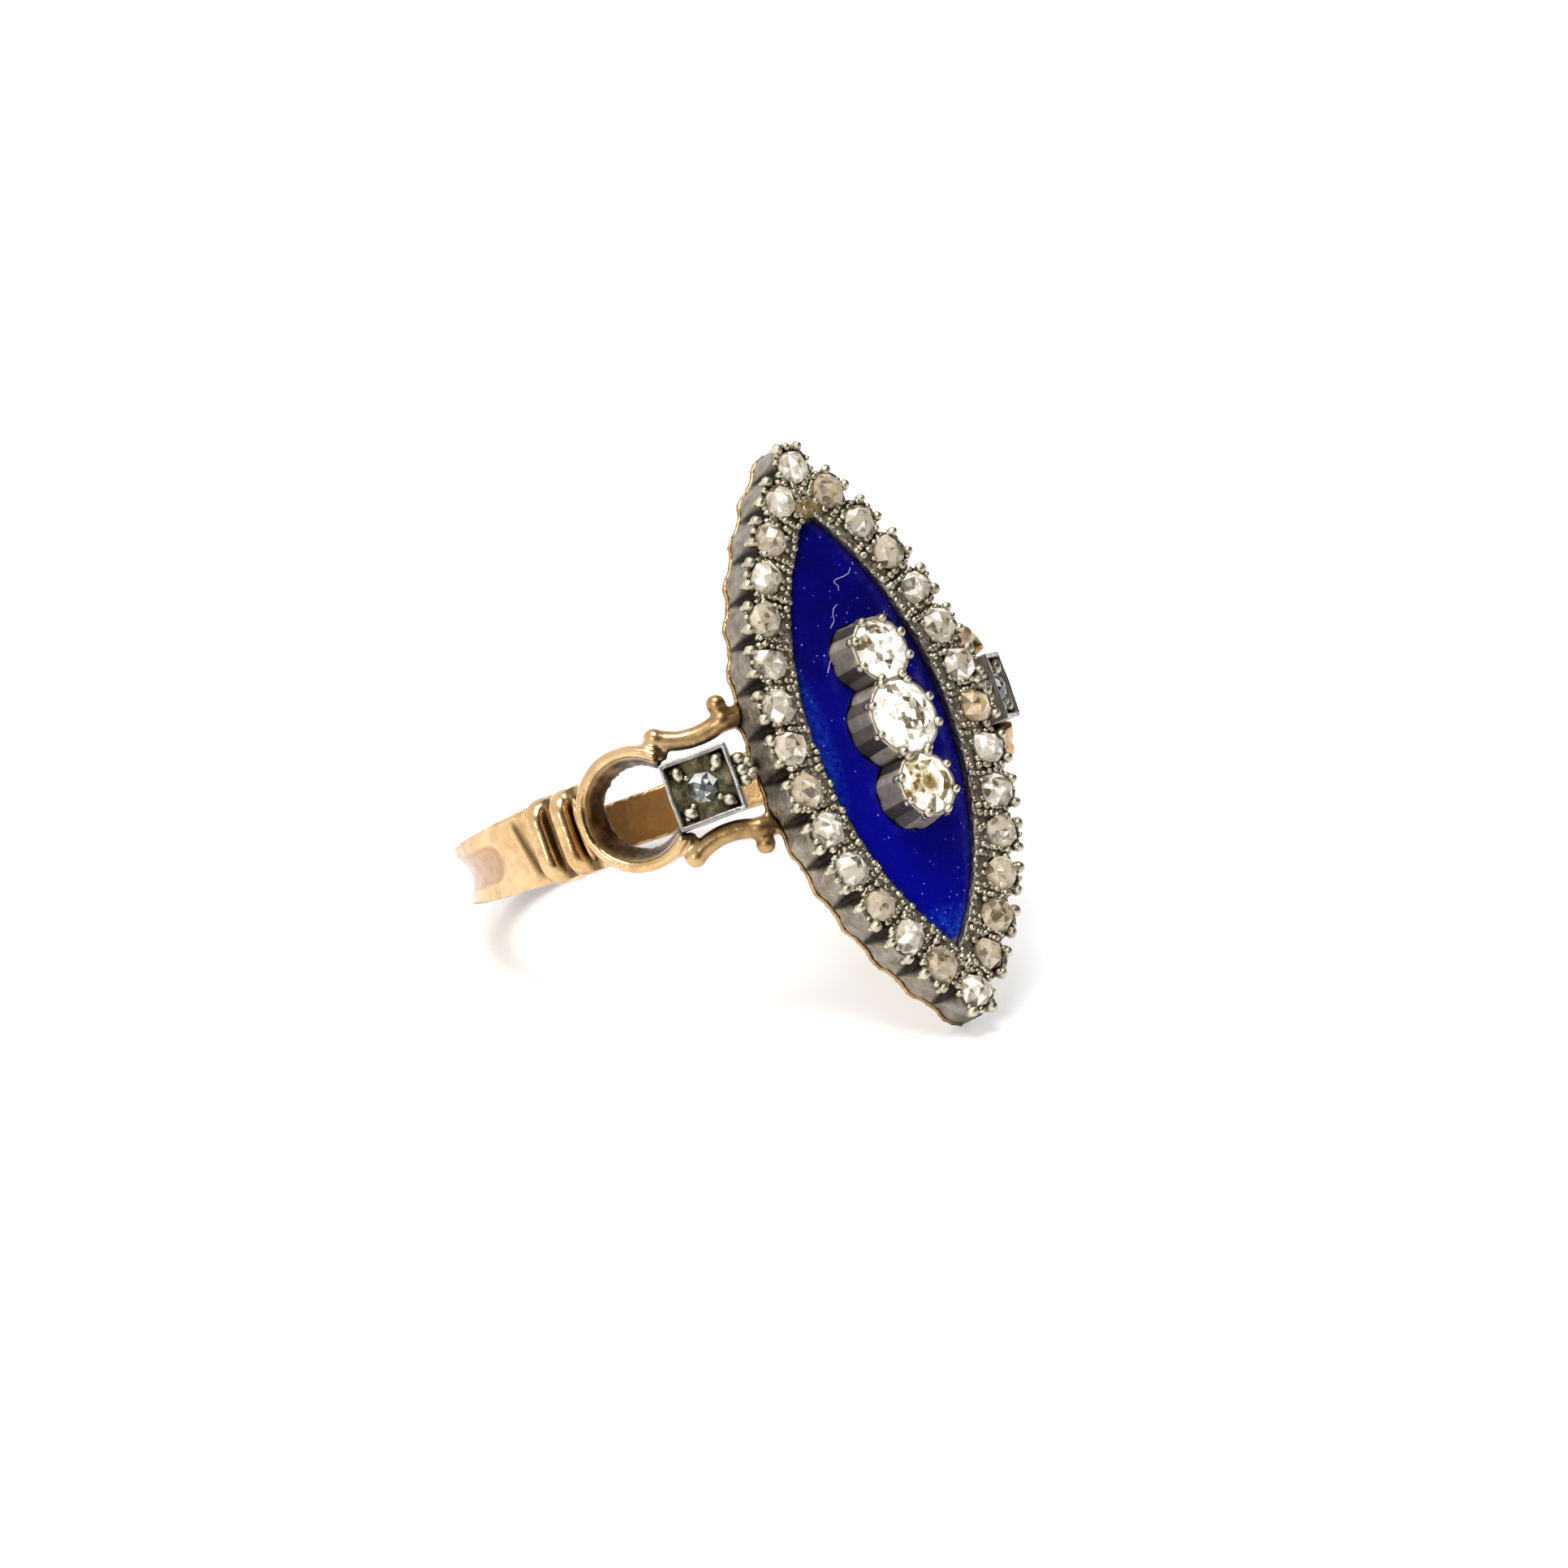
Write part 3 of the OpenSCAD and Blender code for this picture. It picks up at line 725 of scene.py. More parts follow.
for k in range(BORDER_COUNT):
    luck = Random(STONE_SEED + k)
    tilt = turn(luck.uniform(-STONE_TILT, STONE_TILT), "X")
    tilt = tilt @ turn(luck.uniform(-STONE_TILT, STONE_TILT), "Y")
    turned = turn(luck.uniform(0, pi), "Z")
    outline = turned @ Matrix.Diagonal((luck.uniform(*STONE_STRETCH), luck.uniform(*STONE_STRETCH), 1, 1))
    radius = BORDER_STONE_R * luck.uniform(0.94, 1.0)
    warm = WARM_STONES.get(k, luck.uniform(*USUAL_WARM))
    stone = rose_cut(radius, luck, warm, DULL_STONES.get(k, USUAL_BRIGHT))
    place = HEAD @ Matrix.Translation(border_place(k) + STONE_LIFT) @ tilt @ outline
    finished(f"rose_cut_{k + 1}", stone, place, ROSE_DIAMOND, instead_of=f"border_stone_{k + 1}")
print("border stones:", BORDER_COUNT)

# %% [markdown]
# ## The three old-cut stones
# An old brilliant has a small eight-sided table, kite facets round it, a round girdle, and a deep
# underside. The rings of points repeat the CAD stone, with one more ring that splits the crown.

# %% Centre stones
CENTRE_STEP = 2.58
CENTRE_GIRDLE = 1.34
STONE_SUNK = 0.05
CENTRE_SEED = 7
EIGHTH = pi / 4
# Place along the head, radius, turn, dullest painted facet and finish of each stone
CENTRE_STONES = {"top": (CENTRE_STEP, 1.13, 0.3, 0.0, WHITE_DIAMOND),
                 "middle": (0, 1.38, 0.1, 0.3, WHITE_DIAMOND),
                 "bottom": (-CENTRE_STEP, 1.13, 0.7, 0.0, HEART_DIAMOND)}


def old_brilliant(radius, start, luck, dull):
    """A small culet, a girdle with two edges, the middle of the crown and a table."""
    shape = bmesh.new()
    ring_of_points(shape, 8, 0.1 * radius, -0.42 * radius, start)
    ring_of_points(shape, 16, radius, -0.02, start, wobble=0.01 * radius, luck=luck)
    ring_of_points(shape, 16, radius, 0.03, start, wobble=0.01 * radius, luck=luck)
    ring_of_points(shape, 8, 0.77 * radius, 0.165 * radius, start + EIGHTH / 2,
                   wobble=0.02 * radius, luck=luck)
    ring_of_points(shape, 8, 0.48 * radius, 0.27 * radius, start)
    facets_of(shape, luck, dull=dull)
    return shape


for which, (along, radius, start, dull, finish) in CENTRE_STONES.items():
    luck = Random(int(1000 * radius + 10 * along) + CENTRE_SEED)
    place = HEAD @ Matrix.Translation((0, along, CENTRE_GIRDLE - STONE_SUNK))
    stone = old_brilliant(radius * 0.99, start, luck, dull)
    finished(f"old_cut_{which}", stone, place, finish, instead_of=f"centre_stone_{which}")
print("centre stones:", list(CENTRE_STONES))

# %% [markdown]
# ## The stones in the boxes
# These are rose cuts with darker painted reflections, almost eight-sided, deep in their boxes.

# %% Box stones
BOX_STONE_R = 0.58
BOX_STONE_SUNK = 0.25
BOX_STONE_TURN = 0.2
BOX_STONE_SEED = 31
for side, place in BOX_PLACES.items():
    luck = Random(BOX_STONE_SEED)
    shape = bmesh.new()
    ring_of_points(shape, 8, BOX_STONE_R * 0.9, -0.26, BOX_STONE_TURN)
    ring_of_points(shape, 8, BOX_STONE_R, -0.06, BOX_STONE_TURN, wobble=0.01, luck=luck)
    ring_of_points(shape, 8, BOX_STONE_R * 0.6, BOX_STONE_R * 0.4, BOX_STONE_TURN + 0.39,
                   wobble=0.02, luck=luck)
    ring_of_points(shape, 4, BOX_STONE_R * 0.25, BOX_STONE_R * 0.52, BOX_STONE_TURN)
    facets_of(shape, luck)
    finished(f"{side}_grey_stone", shape, place @ Matrix.Translation((0, 0, -BOX_STONE_SUNK)),
             GREY_DIAMOND, instead_of=f"{side}_box_stone")
print("box stones:", len(BOX_PLACES))

# %% [markdown]
# ## Worn copies of the metal
# A CAD edge is perfectly sharp, and metal that was worn for a century is not. The mesh of a node
# is copied, cut where the graver cut it, and rebuilt from small cells, which rounds every edge and runs
# the solder joints together. Seeded noise then dents it. A bevel would round the edges too, but it
# can't follow so many crossing curves.


# %% Worn copies
def worn_copy(node, place, cell, dent, cutter=None):
    """The node's mesh in the millimetres of a placed face, rounded and dented."""
    shape = bmesh.new()
    shape.from_mesh(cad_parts[node].data)
    bmesh.ops.transform(shape, matrix=place.inverted(), verts=shape.verts)
    bmesh.ops.remove_doubles(shape, verts=shape.verts, dist=0.0005)
    carrier = shown(node + "_carrier", mesh_of(node + "_sharp", shape))
    if cutter:
        cut = carrier.modifiers.new("cut", "BOOLEAN")
        cut.object = cutter
        cut.operation = "DIFFERENCE"
        cut.solver = "EXACT"
    cells = carrier.modifiers.new("cells", "REMESH")
    cells.mode = "VOXEL"
    cells.voxel_size = cell
    soften = carrier.modifiers.new("soften", "SMOOTH")
    soften.factor = 0.5
    soften.iterations = 1
    ready = carrier.evaluated_get(bpy.context.evaluated_depsgraph_get())
    shape = bmesh.new()
    shape.from_mesh(ready.to_mesh())
    ready.to_mesh_clear()
    bpy.data.objects.remove(carrier)
    shape.normal_update()
    for point in shape.verts:
        point.co += point.normal * dent(point.co)
    return shape


print("worn copies are ready to be made")

# %% [markdown]
# ## The gold band
# The band, the loops and the scrolls are one soldered piece, so one worn copy holds them all. Its dents
# are long and shallow.

# %% Gold band
SHANK_CELL = 0.107


def gold_dent(at):
    return 0.02 * noise.noise(at * 0.7) + 0.012 * noise.noise(at * 2.3)


worn_shank = worn_copy("shank", TO_METRES, SHANK_CELL, gold_dent)
print("worn shank:", len(worn_shank.faces), "faces")
finished("worn_gold_shank", worn_shank, TO_METRES, GOLD, smooth=True, instead_of="shank")

# %% [markdown]
# ## A low bar beside each loop
# Between the second rib and the loop lies a lower, darker bar. It could be swept along a curve; a
# stretched ball, dented a little, gives the same soft ends with few faces. Vector noise starts from
# the clock unless it is seeded, so it is seeded here for all pieces.

# %% Low bars
NOISE_SEED = 4
noise.seed_set(NOISE_SEED)
LOW_BAR_AT = 67.3
LOW_BAR_LIFT = 0.06
LOW_BAR_HALF = (0.30, 0.22, 1.25)
low_bars = bmesh.new()
for angle in (-90 - LOW_BAR_AT, -90 + LOW_BAR_AT):
    place = (turn(radians(angle), "Z") @ Matrix.Translation((BAND_R + LOW_BAR_LIFT, 0, 0))
             @ Matrix.Diagonal((*LOW_BAR_HALF, 1)))
    bmesh.ops.create_uvsphere(low_bars, u_segments=24, v_segments=16, radius=1.0, matrix=place)
for point in low_bars.verts:
    point.co += 0.04 * noise.noise_vector(point.co * 1.5)
finished("low_bars", low_bars, RING, GOLD, smooth=True)
print("low bars: 2")

# %% [markdown]
# ## The silver border with its graver cuts
# Between two stones the outer wall is cut with a V that is deep at the front and runs out towards
# the back. Cones with four sides cut them, because their edge points into the metal. Each point of the
# mesh will carry how deep it lies in a cut, where the silver then paints black shade.

# %% Graver cuts
CUT_OUT = 0.88
CUT_DEEP = 1.36
CUT_END = -1.35
CUT_BACK_HALF = 0.08
CUT_FRONT_HALF = 0.64
WALL_OUT = 0.3
cuts = bmesh.new()
for k in range(BORDER_COUNT):
    spot = border_place(k + 0.5, CUT_OUT) + Vector((0, 0, CUT_END + CUT_DEEP / 2))
    bmesh.ops.create_cone(cuts, cap_ends=True, segments=4, radius1=CUT_BACK_HALF, radius2=CUT_FRONT_HALF,
                          depth=CUT_DEEP, matrix=Matrix.Translation(spot) @ turn(border_out(k + 0.5), "Z"))
cutter = shown("graver_cuts", mesh_of("graver_cuts", cuts))


def in_cut(at):
    """1 in the middle of a graver cut and 0 on the wall between two of them."""
    across = abs(at.x) + ARC_X
    out = sqrt(across ** 2 + at.y ** 2) - ARC_R
    beat = (1 - atan2(at.y, across) / ARC_A) * SIDE_COUNT / 2
    aside = abs(beat % 1 - 0.5) * 2 * ARC_A * ARC_R / SIDE_COUNT
    half = CUT_BACK_HALF + (CUT_FRONT_HALF - CUT_BACK_HALF) * (at.z - CUT_END) / CUT_DEEP
    on_wall = at.z <= 0.02 and half >= CUT_BACK_HALF and out >= WALL_OUT and -0.5 < beat < SIDE_COUNT + 0.5
    return min(1.0, max(0.0, 1.6 * (1 - aside / half))) if on_wall else 0.0


print("graver cuts:", BORDER_COUNT)

# %% [markdown]
# ## The worn border
# The silver frame is crumbly in front, from the graver, and smoother on its wall. Sculpting would do;
# two strengths of noise need no handwork. The cutter is removed once it has cut.

# %% Silver border
BORDER_CELL = 0.068
FRONT_FROM = -0.3


def silver_dent(at):
    rough = 0.05 if at.z > FRONT_FROM else 0.018
    return rough * (noise.noise(at * 4.5) + 0.5 * noise.noise(at * 10.0))


worn_border = worn_copy("silver_border", HEAD, BORDER_CELL, silver_dent, cutter)
bpy.data.objects.remove(cutter)
# Painted shade: each point carries how deep it lies in a cut, which the silver paints black
cut_shade_layer = worn_border.verts.layers.float.new("cut")
for point in worn_border.verts:
    point[cut_shade_layer] = in_cut(point.co)
print("worn border:", len(worn_border.faces), "faces")
finished("worn_silver_border", worn_border, HEAD, SILVER, smooth=True, instead_of="silver_border")

# %% [markdown]
# ## Grains of silver round the border stones
# A setter cuts grains up from the silver and pushes them over each stone's edge. Real grains are
# uneven beads. Each one here is a small ball, pushed out of round, and they follow the row of
# stones: a ring round each stone, a few between neighbours, a rough line along the enamel, and a
# cluster inside each tip.

# %% Border grains
GRAIN_SEED = 5
# A step along a row of grains is off by up to this part of itself
UNEVEN_STEP = (-0.3, 0.3)
GRAINS_ROUND = 9
GRAINS_ALONG = 5
GRAINS_IN_TIP = 26
BETWEEN_OUT = (0.3, 0.08, -0.16, -0.4, -0.64, -0.88)
ROUND_GRAIN_R = (0.09, 0.15)
BETWEEN_GRAIN_R = (0.10, 0.17)
EDGE_GRAIN_R = (0.11, 0.16)


def bead(shape, at, radius, luck, squash=(1, 1, 1), facing=None):
    """One uneven bead of about that radius, in millimetres."""
    uneven = Vector([radius * part * luck.uniform(0.85, 1.15) for part in squash])
    turned = turn(luck.uniform(0, pi), "Z") if facing is None else turn(facing, "Z")
    spot = Matrix.Translation(at) @ turned @ Matrix.Diagonal((*uneven, 1))
    bmesh.ops.create_uvsphere(shape, u_segments=8, v_segments=5, radius=1.0, matrix=spot)


def beside(k, out, along, up):
    """A point by stone k: out of the head, along the row and up from its widest line."""
    way = border_out(k)
    return (border_place(k) + Vector((cos(way), sin(way), 0)) * out
            + Vector((-sin(way), cos(way), 0)) * along + Vector((0, 0, up)))


def grains_at(k, luck):
    """The grains round stone k, between it and the next one, and along the enamel there."""
    some = bmesh.new()
    for step in range(GRAINS_ROUND):
        around = 2 * pi * (step + luck.uniform(*UNEVEN_STEP)) / GRAINS_ROUND
        reach = BORDER_STONE_R * luck.uniform(1.02, 1.12)
        at = beside(k, reach * cos(around), reach * sin(around), luck.uniform(-0.1, 0.06))
        bead(some, at, luck.uniform(*ROUND_GRAIN_R), luck)
    for out in BETWEEN_OUT:
        for side in (-0.1, 0.1):
            at = border_place(k + 0.5 + side, out + luck.uniform(-0.06, 0.06))
            at.z += luck.uniform(-0.12, 0.0)
            bead(some, at, luck.uniform(*BETWEEN_GRAIN_R), luck)
    for step in range(GRAINS_ALONG):
        along = (step + luck.uniform(*UNEVEN_STEP)) / GRAINS_ALONG
        at = border_place(k + along, -1.0 + luck.uniform(-0.1, 0.08))
        at.z += luck.uniform(-0.16, -0.04)
        bead(some, at, luck.uniform(*EDGE_GRAIN_R), luck)
    return some


def grains_in_tip(tip, luck):
    """A cluster inside the upper tip, for 1, or the lower one, for -1."""
    some = bmesh.new()
    for step in range(GRAINS_IN_TIP):
        at = Vector((luck.uniform(-0.55, 0.55), tip * luck.uniform(8.75, 9.35), luck.uniform(-0.16, -0.04)))
        bead(some, at, luck.uniform(*ROUND_GRAIN_R), luck)
    return some


luck = Random(GRAIN_SEED)
grains = bmesh.new()
for k in range(BORDER_COUNT):
    pour(grains_at(k, luck), grains)
for tip in (1, -1):
    pour(grains_in_tip(tip, luck), grains)
for point in grains.verts:
    point.co += 0.02 * noise.noise_vector(point.co * 7)
print("grain faces:", len(grains.faces))
finished("border_grains", grains, HEAD, BEAD_SILVER, smooth=True)

# %% [markdown]
# ## Claws on the border's edge
# Beside each graver cut stands a large rubbed bead with a small one under it, where metal was pushed
# over the stone. Beads could be copied by an array; this loop varies each of them.

# %% Border claws
CLAW_ASIDE = 0.45
CLAW_OUT = 0.72
CLAW_R = 0.22
CLAW_FOOT_OUT = 0.76
CLAW_FOOT_R = 0.13
claws = bmesh.new()
for k in range(BORDER_COUNT):
    way = border_out(k)
    for along in (-CLAW_ASIDE, CLAW_ASIDE):
        bead(claws, beside(k, CLAW_OUT, along, -0.03), CLAW_R, luck, facing=way)
        bead(claws, beside(k, CLAW_FOOT_OUT, along * 0.95, -0.26), CLAW_FOOT_R, luck, (0.9, 0.9, 1.5), way)
finished("border_claws", claws, HEAD, BEAD_SILVER, smooth=True)
print("claws:", 2 * BORDER_COUNT)

# %% [markdown]
# ## The three collets
# Each centre stone sits in a cone of silver with shallow flutes down its side and eight bead claws
# round its top. A loft of circles makes the cone: each circle is pushed in and out to form the flutes,
# and neighbouring circles are bridged. Each flute carries its own painted light and shade.

# %% Centre collets
FLUTES = 9
CIRCLE_POINTS = 80
COLLET_FOOT = -0.12
COLLET_SHOULDER = 1.2


def fluted_circle(shape, radius, height, flute):
    """The edges of one circle, whose flutes are that deep."""
    ring = bmesh.ops.create_circle(shape, segments=CIRCLE_POINTS, radius=radius)["verts"]
    for point in ring:
        angle = atan2(point.co.y, point.co.x)
        point.co *= 1 - flute * (1 - abs(cos(FLUTES * angle / 2))) / radius
        point.co.z = height
    return list(dict.fromkeys(edge for point in ring for edge in point.link_edges))


def collet(stone_r):
    """A collet at the origin for a stone of that radius."""
    shape = bmesh.new()
    # Radius, height and flute depth of each circle, up the outside and down the inside
    levels = [(stone_r + 0.28, COLLET_FOOT, 0.1), (stone_r + 0.26, 0.1, 0.12), (stone_r + 0.2, 0.7, 0.13),
              (stone_r + 0.14, 1.1, 0.08), (stone_r + 0.11, 1.27, 0.03), (stone_r + 0.06, 1.32, 0.0),
              (stone_r - 0.03, 1.3, 0.0), (stone_r - 0.12, 1.1, 0.0), (stone_r * 0.3, 0.8, 0.0)]
    circles = [fluted_circle(shape, *level) for level in levels]
    for lower, upper in zip(circles, circles[1:]):
        bmesh.ops.bridge_loops(shape, edges=lower + upper)
    bmesh.ops.edgeloop_fill(shape, edges=circles[0])
    bmesh.ops.edgeloop_fill(shape, edges=circles[-1])
    bmesh.ops.recalc_face_normals(shape, faces=shape.faces)
    # Painted light and shade: each flute below the shoulder gets its own brightness, the top stays bright
    number = shape.faces.layers.float.new("facet_light")
    for face in shape.faces:
        middle = face.calc_center_median()
        flute = int(2 * FLUTES * (atan2(middle.y, middle.x) / (2 * pi) + 0.5))
        face[number] = Random(flute + int(100 * stone_r)).random() if middle.z < COLLET_SHOULDER else 1.0
    return shape


collets = bmesh.new()
for along, radius, *_ in CENTRE_STONES.values():
    one = collet(radius)
    bmesh.ops.translate(one, vec=(0, along, 0), verts=one.verts)
    pour(one, collets)
finished("fluted_collets", collets, HEAD, COLLET_SILVER, smooth=True, instead_of="centre_collets")
print("collets:", len(CENTRE_STONES))

# %% [markdown]
# ## Claws on the collets
# Eight beads lean over the edge of each centre stone, each on a longer bead that runs down the wall.
# They are balls like the grains, because a claw that was rubbed for a century is little more.

# %% Collet claws
CLAW_COUNT = 8
COLLET_CLAW_R = 0.19
COLLET_CLAW_FOOT_R = 0.15
claw_beads = bmesh.new()
for along, radius, *_ in CENTRE_STONES.values():
    reach = radius + 0.04
    for step in range(CLAW_COUNT):
        angle = 2 * pi * (step + 0.5) / CLAW_COUNT + luck.uniform(-0.06, 0.06)
        at = Vector((reach * cos(angle), along + reach * sin(angle), CENTRE_GIRDLE + 0.02))
        foot = at + Vector((0.07 * cos(angle), 0.07 * sin(angle), -0.2))
        bead(claw_beads, at, COLLET_CLAW_R, luck)
        bead(claw_beads, foot, COLLET_CLAW_FOOT_R, luck, (1, 1, 1.4), angle)
finished("collet_claws", claw_beads, HEAD, BEAD_SILVER, smooth=True)
print("claws on each collet:", CLAW_COUNT)

# %% [markdown]
# ## The two box settings
# A box has a bright rubbed rim, walls of grey silver and a dark sunk floor, cut in rays that run to
# a bead in each corner. The case is a cube whose top is inset and pushed down. The floor is a fine
# grid that is raised by a star-shaped rule.

# %% Box case and floor
BOX_SIDE = 2.54
BOX_DEPTH = 1.6
BOX_RIM = 0.17
BOX_FLOOR = -0.4
FLOOR_CELLS = 36
SEAT_R = 0.62
SEAT_FADE = 0.25
RAY_HEIGHT = 0.16


def box_case():
    shape = bmesh.new()
    place = Matrix.Translation((0, 0, -BOX_DEPTH / 2)) @ Matrix.Diagonal((BOX_SIDE, BOX_SIDE, BOX_DEPTH, 1))
    bmesh.ops.create_cube(shape, size=1.0, matrix=place)
    top = [face for face in shape.faces if face.normal.z > 0.9]
    bmesh.ops.inset_region(shape, faces=top, thickness=BOX_RIM, use_even_offset=True)
    sunk = bmesh.ops.extrude_discrete_faces(shape, faces=top)["faces"]
    bmesh.ops.translate(shape, vec=(0, 0, BOX_FLOOR), verts=sunk[0].verts)
    rounded = [edge for edge in shape.edges
               if edge.calc_face_angle(0) > 0.5 and max(point.co.z for point in edge.verts) > -0.01]
    bmesh.ops.bevel(shape, geom=rounded, offset=0.05, offset_type="OFFSET", segments=3, profile=0.5,
                    affect="EDGES", material=-1)
    long_edges = [edge for edge in shape.edges if edge.calc_length() > 1]
    bmesh.ops.subdivide_edges(shape, edges=long_edges, cuts=9, use_grid_fill=True)
    for point in shape.verts:
        point.co += 0.035 * noise.noise_vector(point.co * 1.3)
    return shape


def rayed_floor():
    """Flat under the stone, with four rays up to the corners and shallow troughs between them."""
    shape = bmesh.new()
    half = BOX_SIDE / 2 - BOX_RIM + 0.02
    bmesh.ops.create_grid(shape, x_segments=FLOOR_CELLS, y_segments=FLOOR_CELLS, size=half)
    for point in shape.verts:
        ray = cos(4 * atan2(point.co.y, point.co.x))
        beyond_seat = min(1.0, max(0.0, (point.co.length - SEAT_R) / SEAT_FADE))
        rise = beyond_seat * (RAY_HEIGHT * abs(ray) ** 1.5 * (1 if ray > 0 else -0.3))
        point.co.z = BOX_FLOOR + 0.05 + rise + 0.03 * noise.noise(point.co * 4)
    return shape


print("box side", BOX_SIDE, "mm")

# %% [markdown]
# ## Grains in the boxes
# Each corner has a large bead with a small one on either side, and a few beads join the box to the
# head. Single balls at measured places are enough. Both boxes are made here from the same shapes.

# %% Box grains
BOX_SEED = 77
CORNER_AT = 0.74
# Out from the box's side, along it, height and radius of each bead of the link
LINK_BEADS = [(0.22, -0.24, -0.44, 0.30), (0.22, 0.13, -0.44, 0.30), (0.22, 0.56, -0.44, 0.30),
              (0.5, -0.12, -0.6, 0.30), (0.5, 0.32, -0.6, 0.30), (0.3, 0.18, -0.75, 0.36)]


def box_grains(luck):
    shape = bmesh.new()
    for x in (-CORNER_AT, CORNER_AT):
        for y in (-CORNER_AT, CORNER_AT):
            bead(shape, Vector((x, y, -0.26)), 0.25, luck, (1.2, 1, 1))
            bead(shape, Vector((x * 0.7 + luck.uniform(-0.06, 0.06), y * 0.7, -0.28)), 0.13, luck)
            bead(shape, Vector((x * 1.2, y * 1.2, -0.3)), 0.14, luck)
    for out, along, height, radius in LINK_BEADS:
        bead(shape, Vector((BOX_SIDE / 2 + out, along, height)), radius, luck)
    return shape


for side, place in BOX_PLACES.items():
    finished(f"{side}_box_case", box_case(), place, RIM_SILVER, instead_of=f"{side}_box")
    finished(f"{side}_box_floor", rayed_floor(), place, FLOOR_SILVER, smooth=True)
    finished(f"{side}_box_grains", box_grains(Random(BOX_SEED)), place, BEAD_SILVER, smooth=True)
print("boxes:", list(BOX_PLACES))

# %% [markdown]
# ## Cement in the upper tip
# An old repair left a lump of brown cement in the enamel's upper tip. A flattened ball, dented by
# noise, stands a little proud of the glass.

# %% Cement
CEMENT_AT = (0.0, 8.55, -0.14)
CEMENT_HALF = (0.72, 0.42, 0.22)


def tip_cement():
    made, tree, putty = finish_named("tip_cement")
    speckled = spread(tree, grain(tree, millimetres(tree), 6.0, 5.0), 0.35, 0.65)
    fill(tree, putty, {"Base Color": blend(tree, speckled, (0.13, 0.08, 0.02), (0.42, 0.30, 0.12)),
                       "Roughness": 0.8})
    return made


lump = bmesh.new()
lump_place = Matrix.Translation(CEMENT_AT) @ Matrix.Diagonal((*CEMENT_HALF, 1))
bmesh.ops.create_icosphere(lump, subdivisions=4, radius=1.0, matrix=lump_place)
for point in lump.verts:
    point.co += 0.07 * noise.noise_vector(point.co * 3.5)
print("cement:", len(lump.faces), "faces")
finished("tip_cement", lump, HEAD, tip_cement(), smooth=True)

# %% [markdown]
# ## Scratches in the enamel
# Four fine hair scratches catch the light above and beside the top stone. Each is a thin strip that
# follows a few given points and lies just over the enamel's dome, whose height is worked
# out as for a slice of a large torus, the same shape as the CAD solid.

# %% Scratches
ENAMEL_TOP = 0.2
DOME_ALONG = 59.48
DOME_ACROSS = 8.2
SCRATCH_SEED = 9
SCRATCH_HALF = 0.014
SCRATCH_MORE = 0.008
SCRATCH_LIFT = 0.008
STEPS = 5
SCRATCHES = [[(1.1, 6.05), (0.9, 5.85), (0.6, 5.76), (0.15, 5.7), (0.05, 5.6), (0.18, 5.45), (0.08, 5.22)],
             [(-0.2, 4.78), (-0.42, 4.66), (-0.55, 4.45), (-0.6, 4.2), (-0.95, 3.9)],
             [(-1.05, 3.3), (-1.2, 3.0), (-1.4, 2.75), (-1.7, 2.3)],
             [(1.9, 4.2), (1.75, 4.0), (1.72, 3.75)]]


def over_enamel(x, y):
    """A point just over the dome."""
    fall = DOME_ACROSS - sqrt(DOME_ACROSS ** 2 - x * x)
    return Vector((x, y, ENAMEL_TOP - DOME_ALONG + sqrt((DOME_ALONG - fall) ** 2 - y * y) + SCRATCH_LIFT))


def scratch_colour():
    made, tree, dust = finish_named("scratched_enamel")
    fill(tree, dust, {"Base Color": (0.46, 0.38, 0.68, 1), "Roughness": 0.5})
    return made


strips = bmesh.new()
luck = Random(SCRATCH_SEED)
for path in SCRATCHES:
    last = None
    for (x, y), (next_x, next_y) in zip(path, path[1:]):
        for step in range(STEPS):
            part = step / STEPS
            px, py = x + (next_x - x) * part, y + (next_y - y) * part
            half = SCRATCH_HALF + SCRATCH_MORE * luck.random()
            lean = Vector((next_y - y, x - next_x, 0)).normalized() * half
            pair = [strips.verts.new(over_enamel(px + s * lean.x, py + s * lean.y)) for s in (-1, 1)]
            if last:
                strips.faces.new((last[0], last[1], pair[1], pair[0]))
            last = pair
bmesh.ops.recalc_face_normals(strips, faces=strips.faces)
if sum(face.normal.z for face in strips.faces) < 0:
    bmesh.ops.reverse_faces(strips, faces=strips.faces)
finished("enamel_scratches", strips, HEAD, scratch_colour())
print("scratches:", len(SCRATCHES))

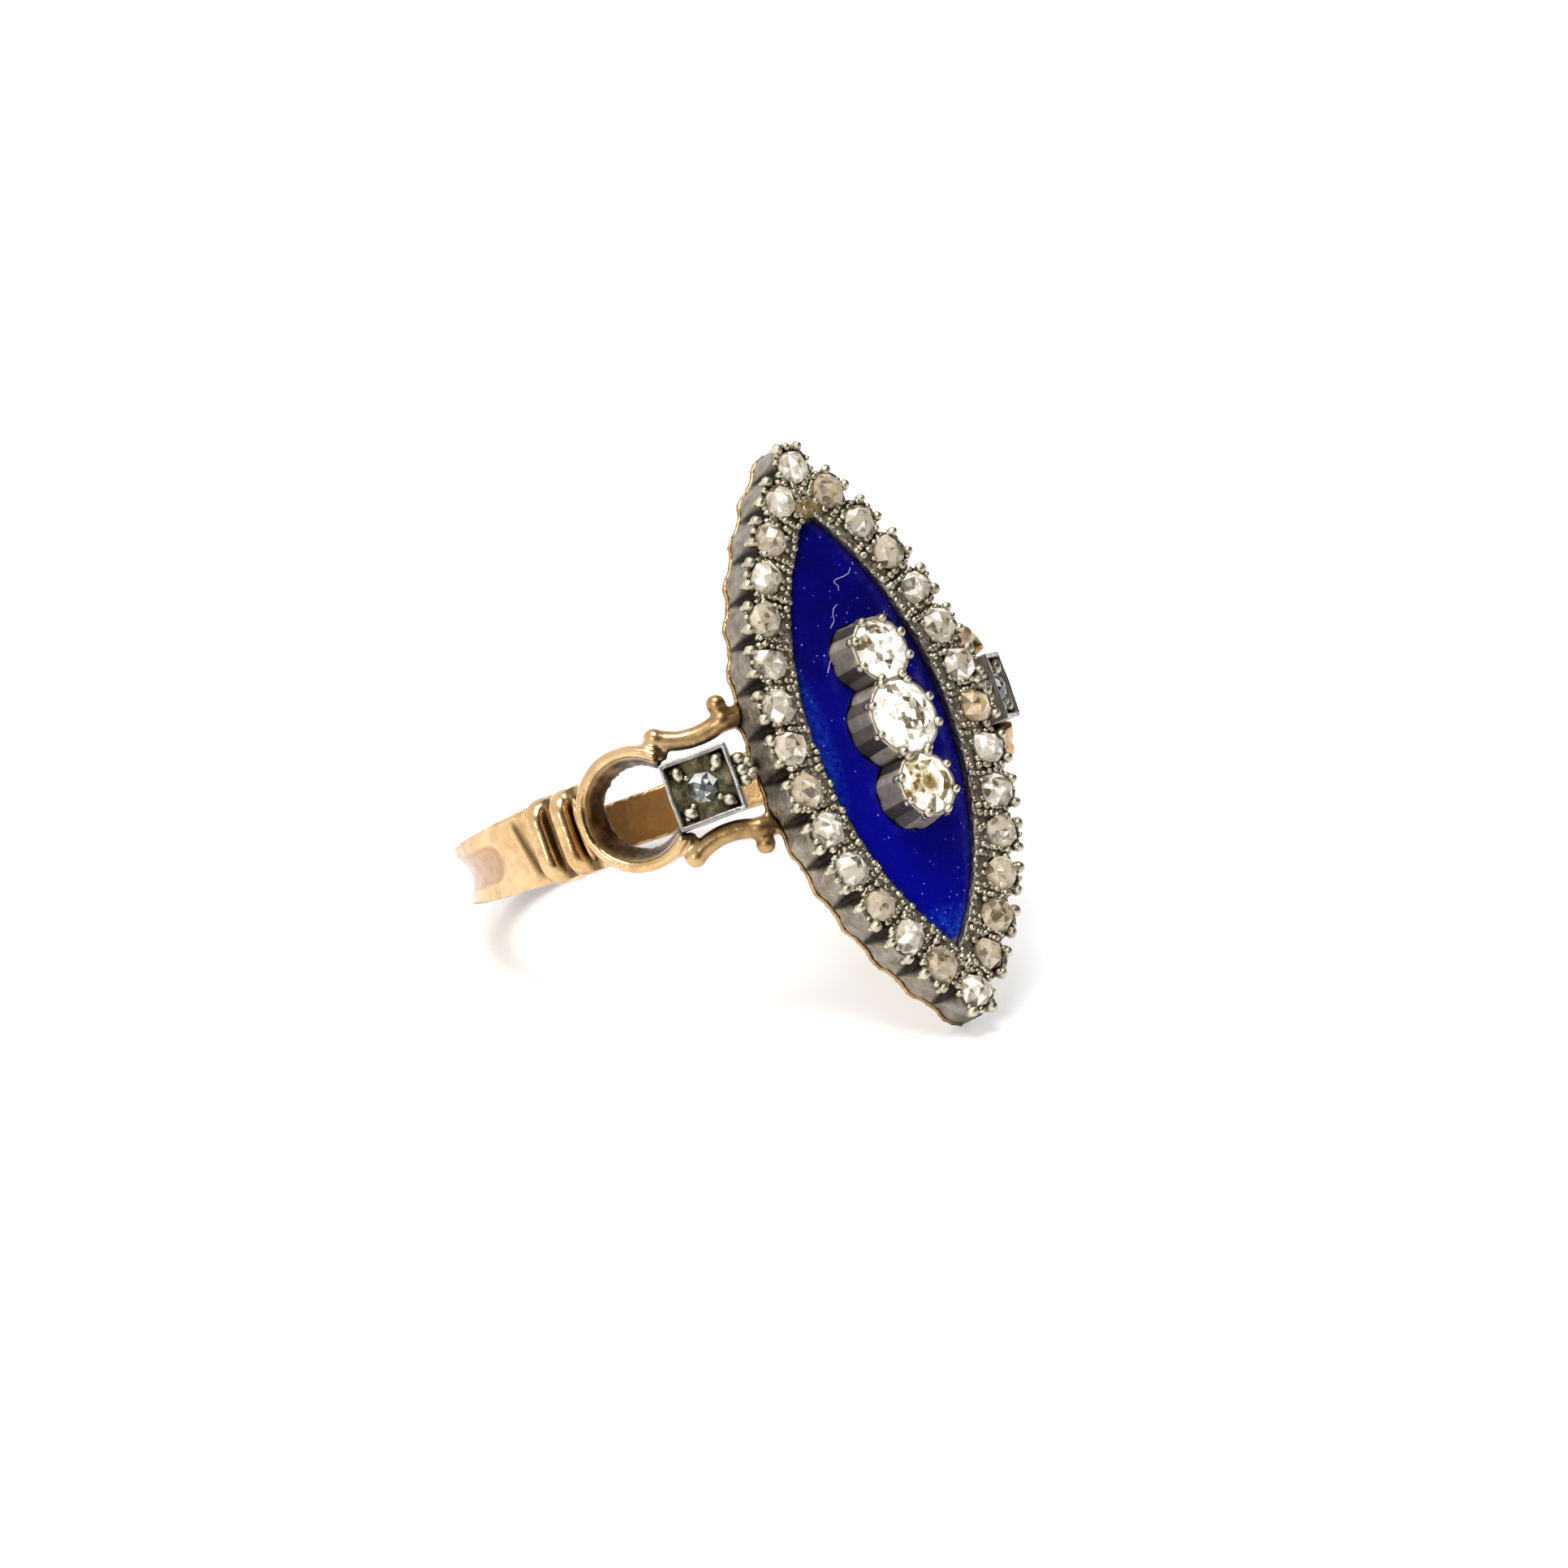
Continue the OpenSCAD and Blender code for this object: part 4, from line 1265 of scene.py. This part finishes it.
# %% [markdown]
# ## The floor
# A plain pale sheet, faintly glossy, so that the gold is mirrored softly where it comes near. It
# glows a little, like the backlit sheet of a product table, which keeps the shadows faint.

# %% Floor
FLOOR_HALF = 3.0
floor_shape = bmesh.new()
bmesh.ops.create_grid(floor_shape, x_segments=1, y_segments=1, size=FLOOR_HALF)
floor_mesh = mesh_of("floor", floor_shape)
floor = shown("floor", floor_mesh)
floor_finish, floor_tree, paper = finish_named("pale_floor")
fill(floor_tree, paper, {"Base Color": (0.80, 0.80, 0.80, 1), "Roughness": 0.24,
                         "Emission Color": (1, 1, 1, 1), "Emission Strength": 0.42})
floor_mesh.materials.append(floor_finish)
print("floor ready")

# %% [markdown]
# ## Light
# A soft white tent lights the ring. The tent is the world: bright above and behind, and dark on the
# camera's side, because metal and glass need something dark to mirror. A large lamp above and one at
# the left give the highlights.

# %% World and lamps
DIM_WAY = Vector((0.45, -0.80, 0.25)).normalized()
WHITE = (1, 1, 1, 1)
world = bpy.data.worlds.new("tent")
world.use_nodes = True
bpy.context.scene.world = world
sky = world.node_tree
sky.nodes.clear()
looking = add(sky, "TexCoord").outputs["Generated"]
toward_dim = add(sky, "VectorMath", {0: looking, 1: DIM_WAY}, operation="DOT_PRODUCT").outputs["Value"]
tent = add(sky, "Background", {"Color": WHITE, "Strength": spread(sky, toward_dim, -0.35, 0.65, 1.0, 0.03)})
white = add(sky, "Background", {"Color": WHITE, "Strength": 1.0})
seen = add(sky, "LightPath").outputs["Is Camera Ray"]
mixed = add(sky, "MixShader", {0: seen, 1: tent.outputs[0], 2: white.outputs[0]})
add(sky, "OutputWorld", {"Surface": mixed.outputs[0]})


def lamp(name, at, size, power):
    """A square soft lamp that looks at the ring; at and size are in metres."""
    data = bpy.data.lights.new(name, "AREA")
    data.size = size
    data.energy = power
    made = shown(name, data)
    made.location = at
    made.rotation_euler = (-Vector(at)).to_track_quat("-Z", "Y").to_euler()


lamp("top_lamp", at=(-0.08, -0.02, 0.42), size=0.20, power=1.2)
lamp("left_lamp", at=(-0.42, -0.16, 0.20), size=0.10, power=0.5)
bpy.context.scene.view_settings.view_transform = "Standard"
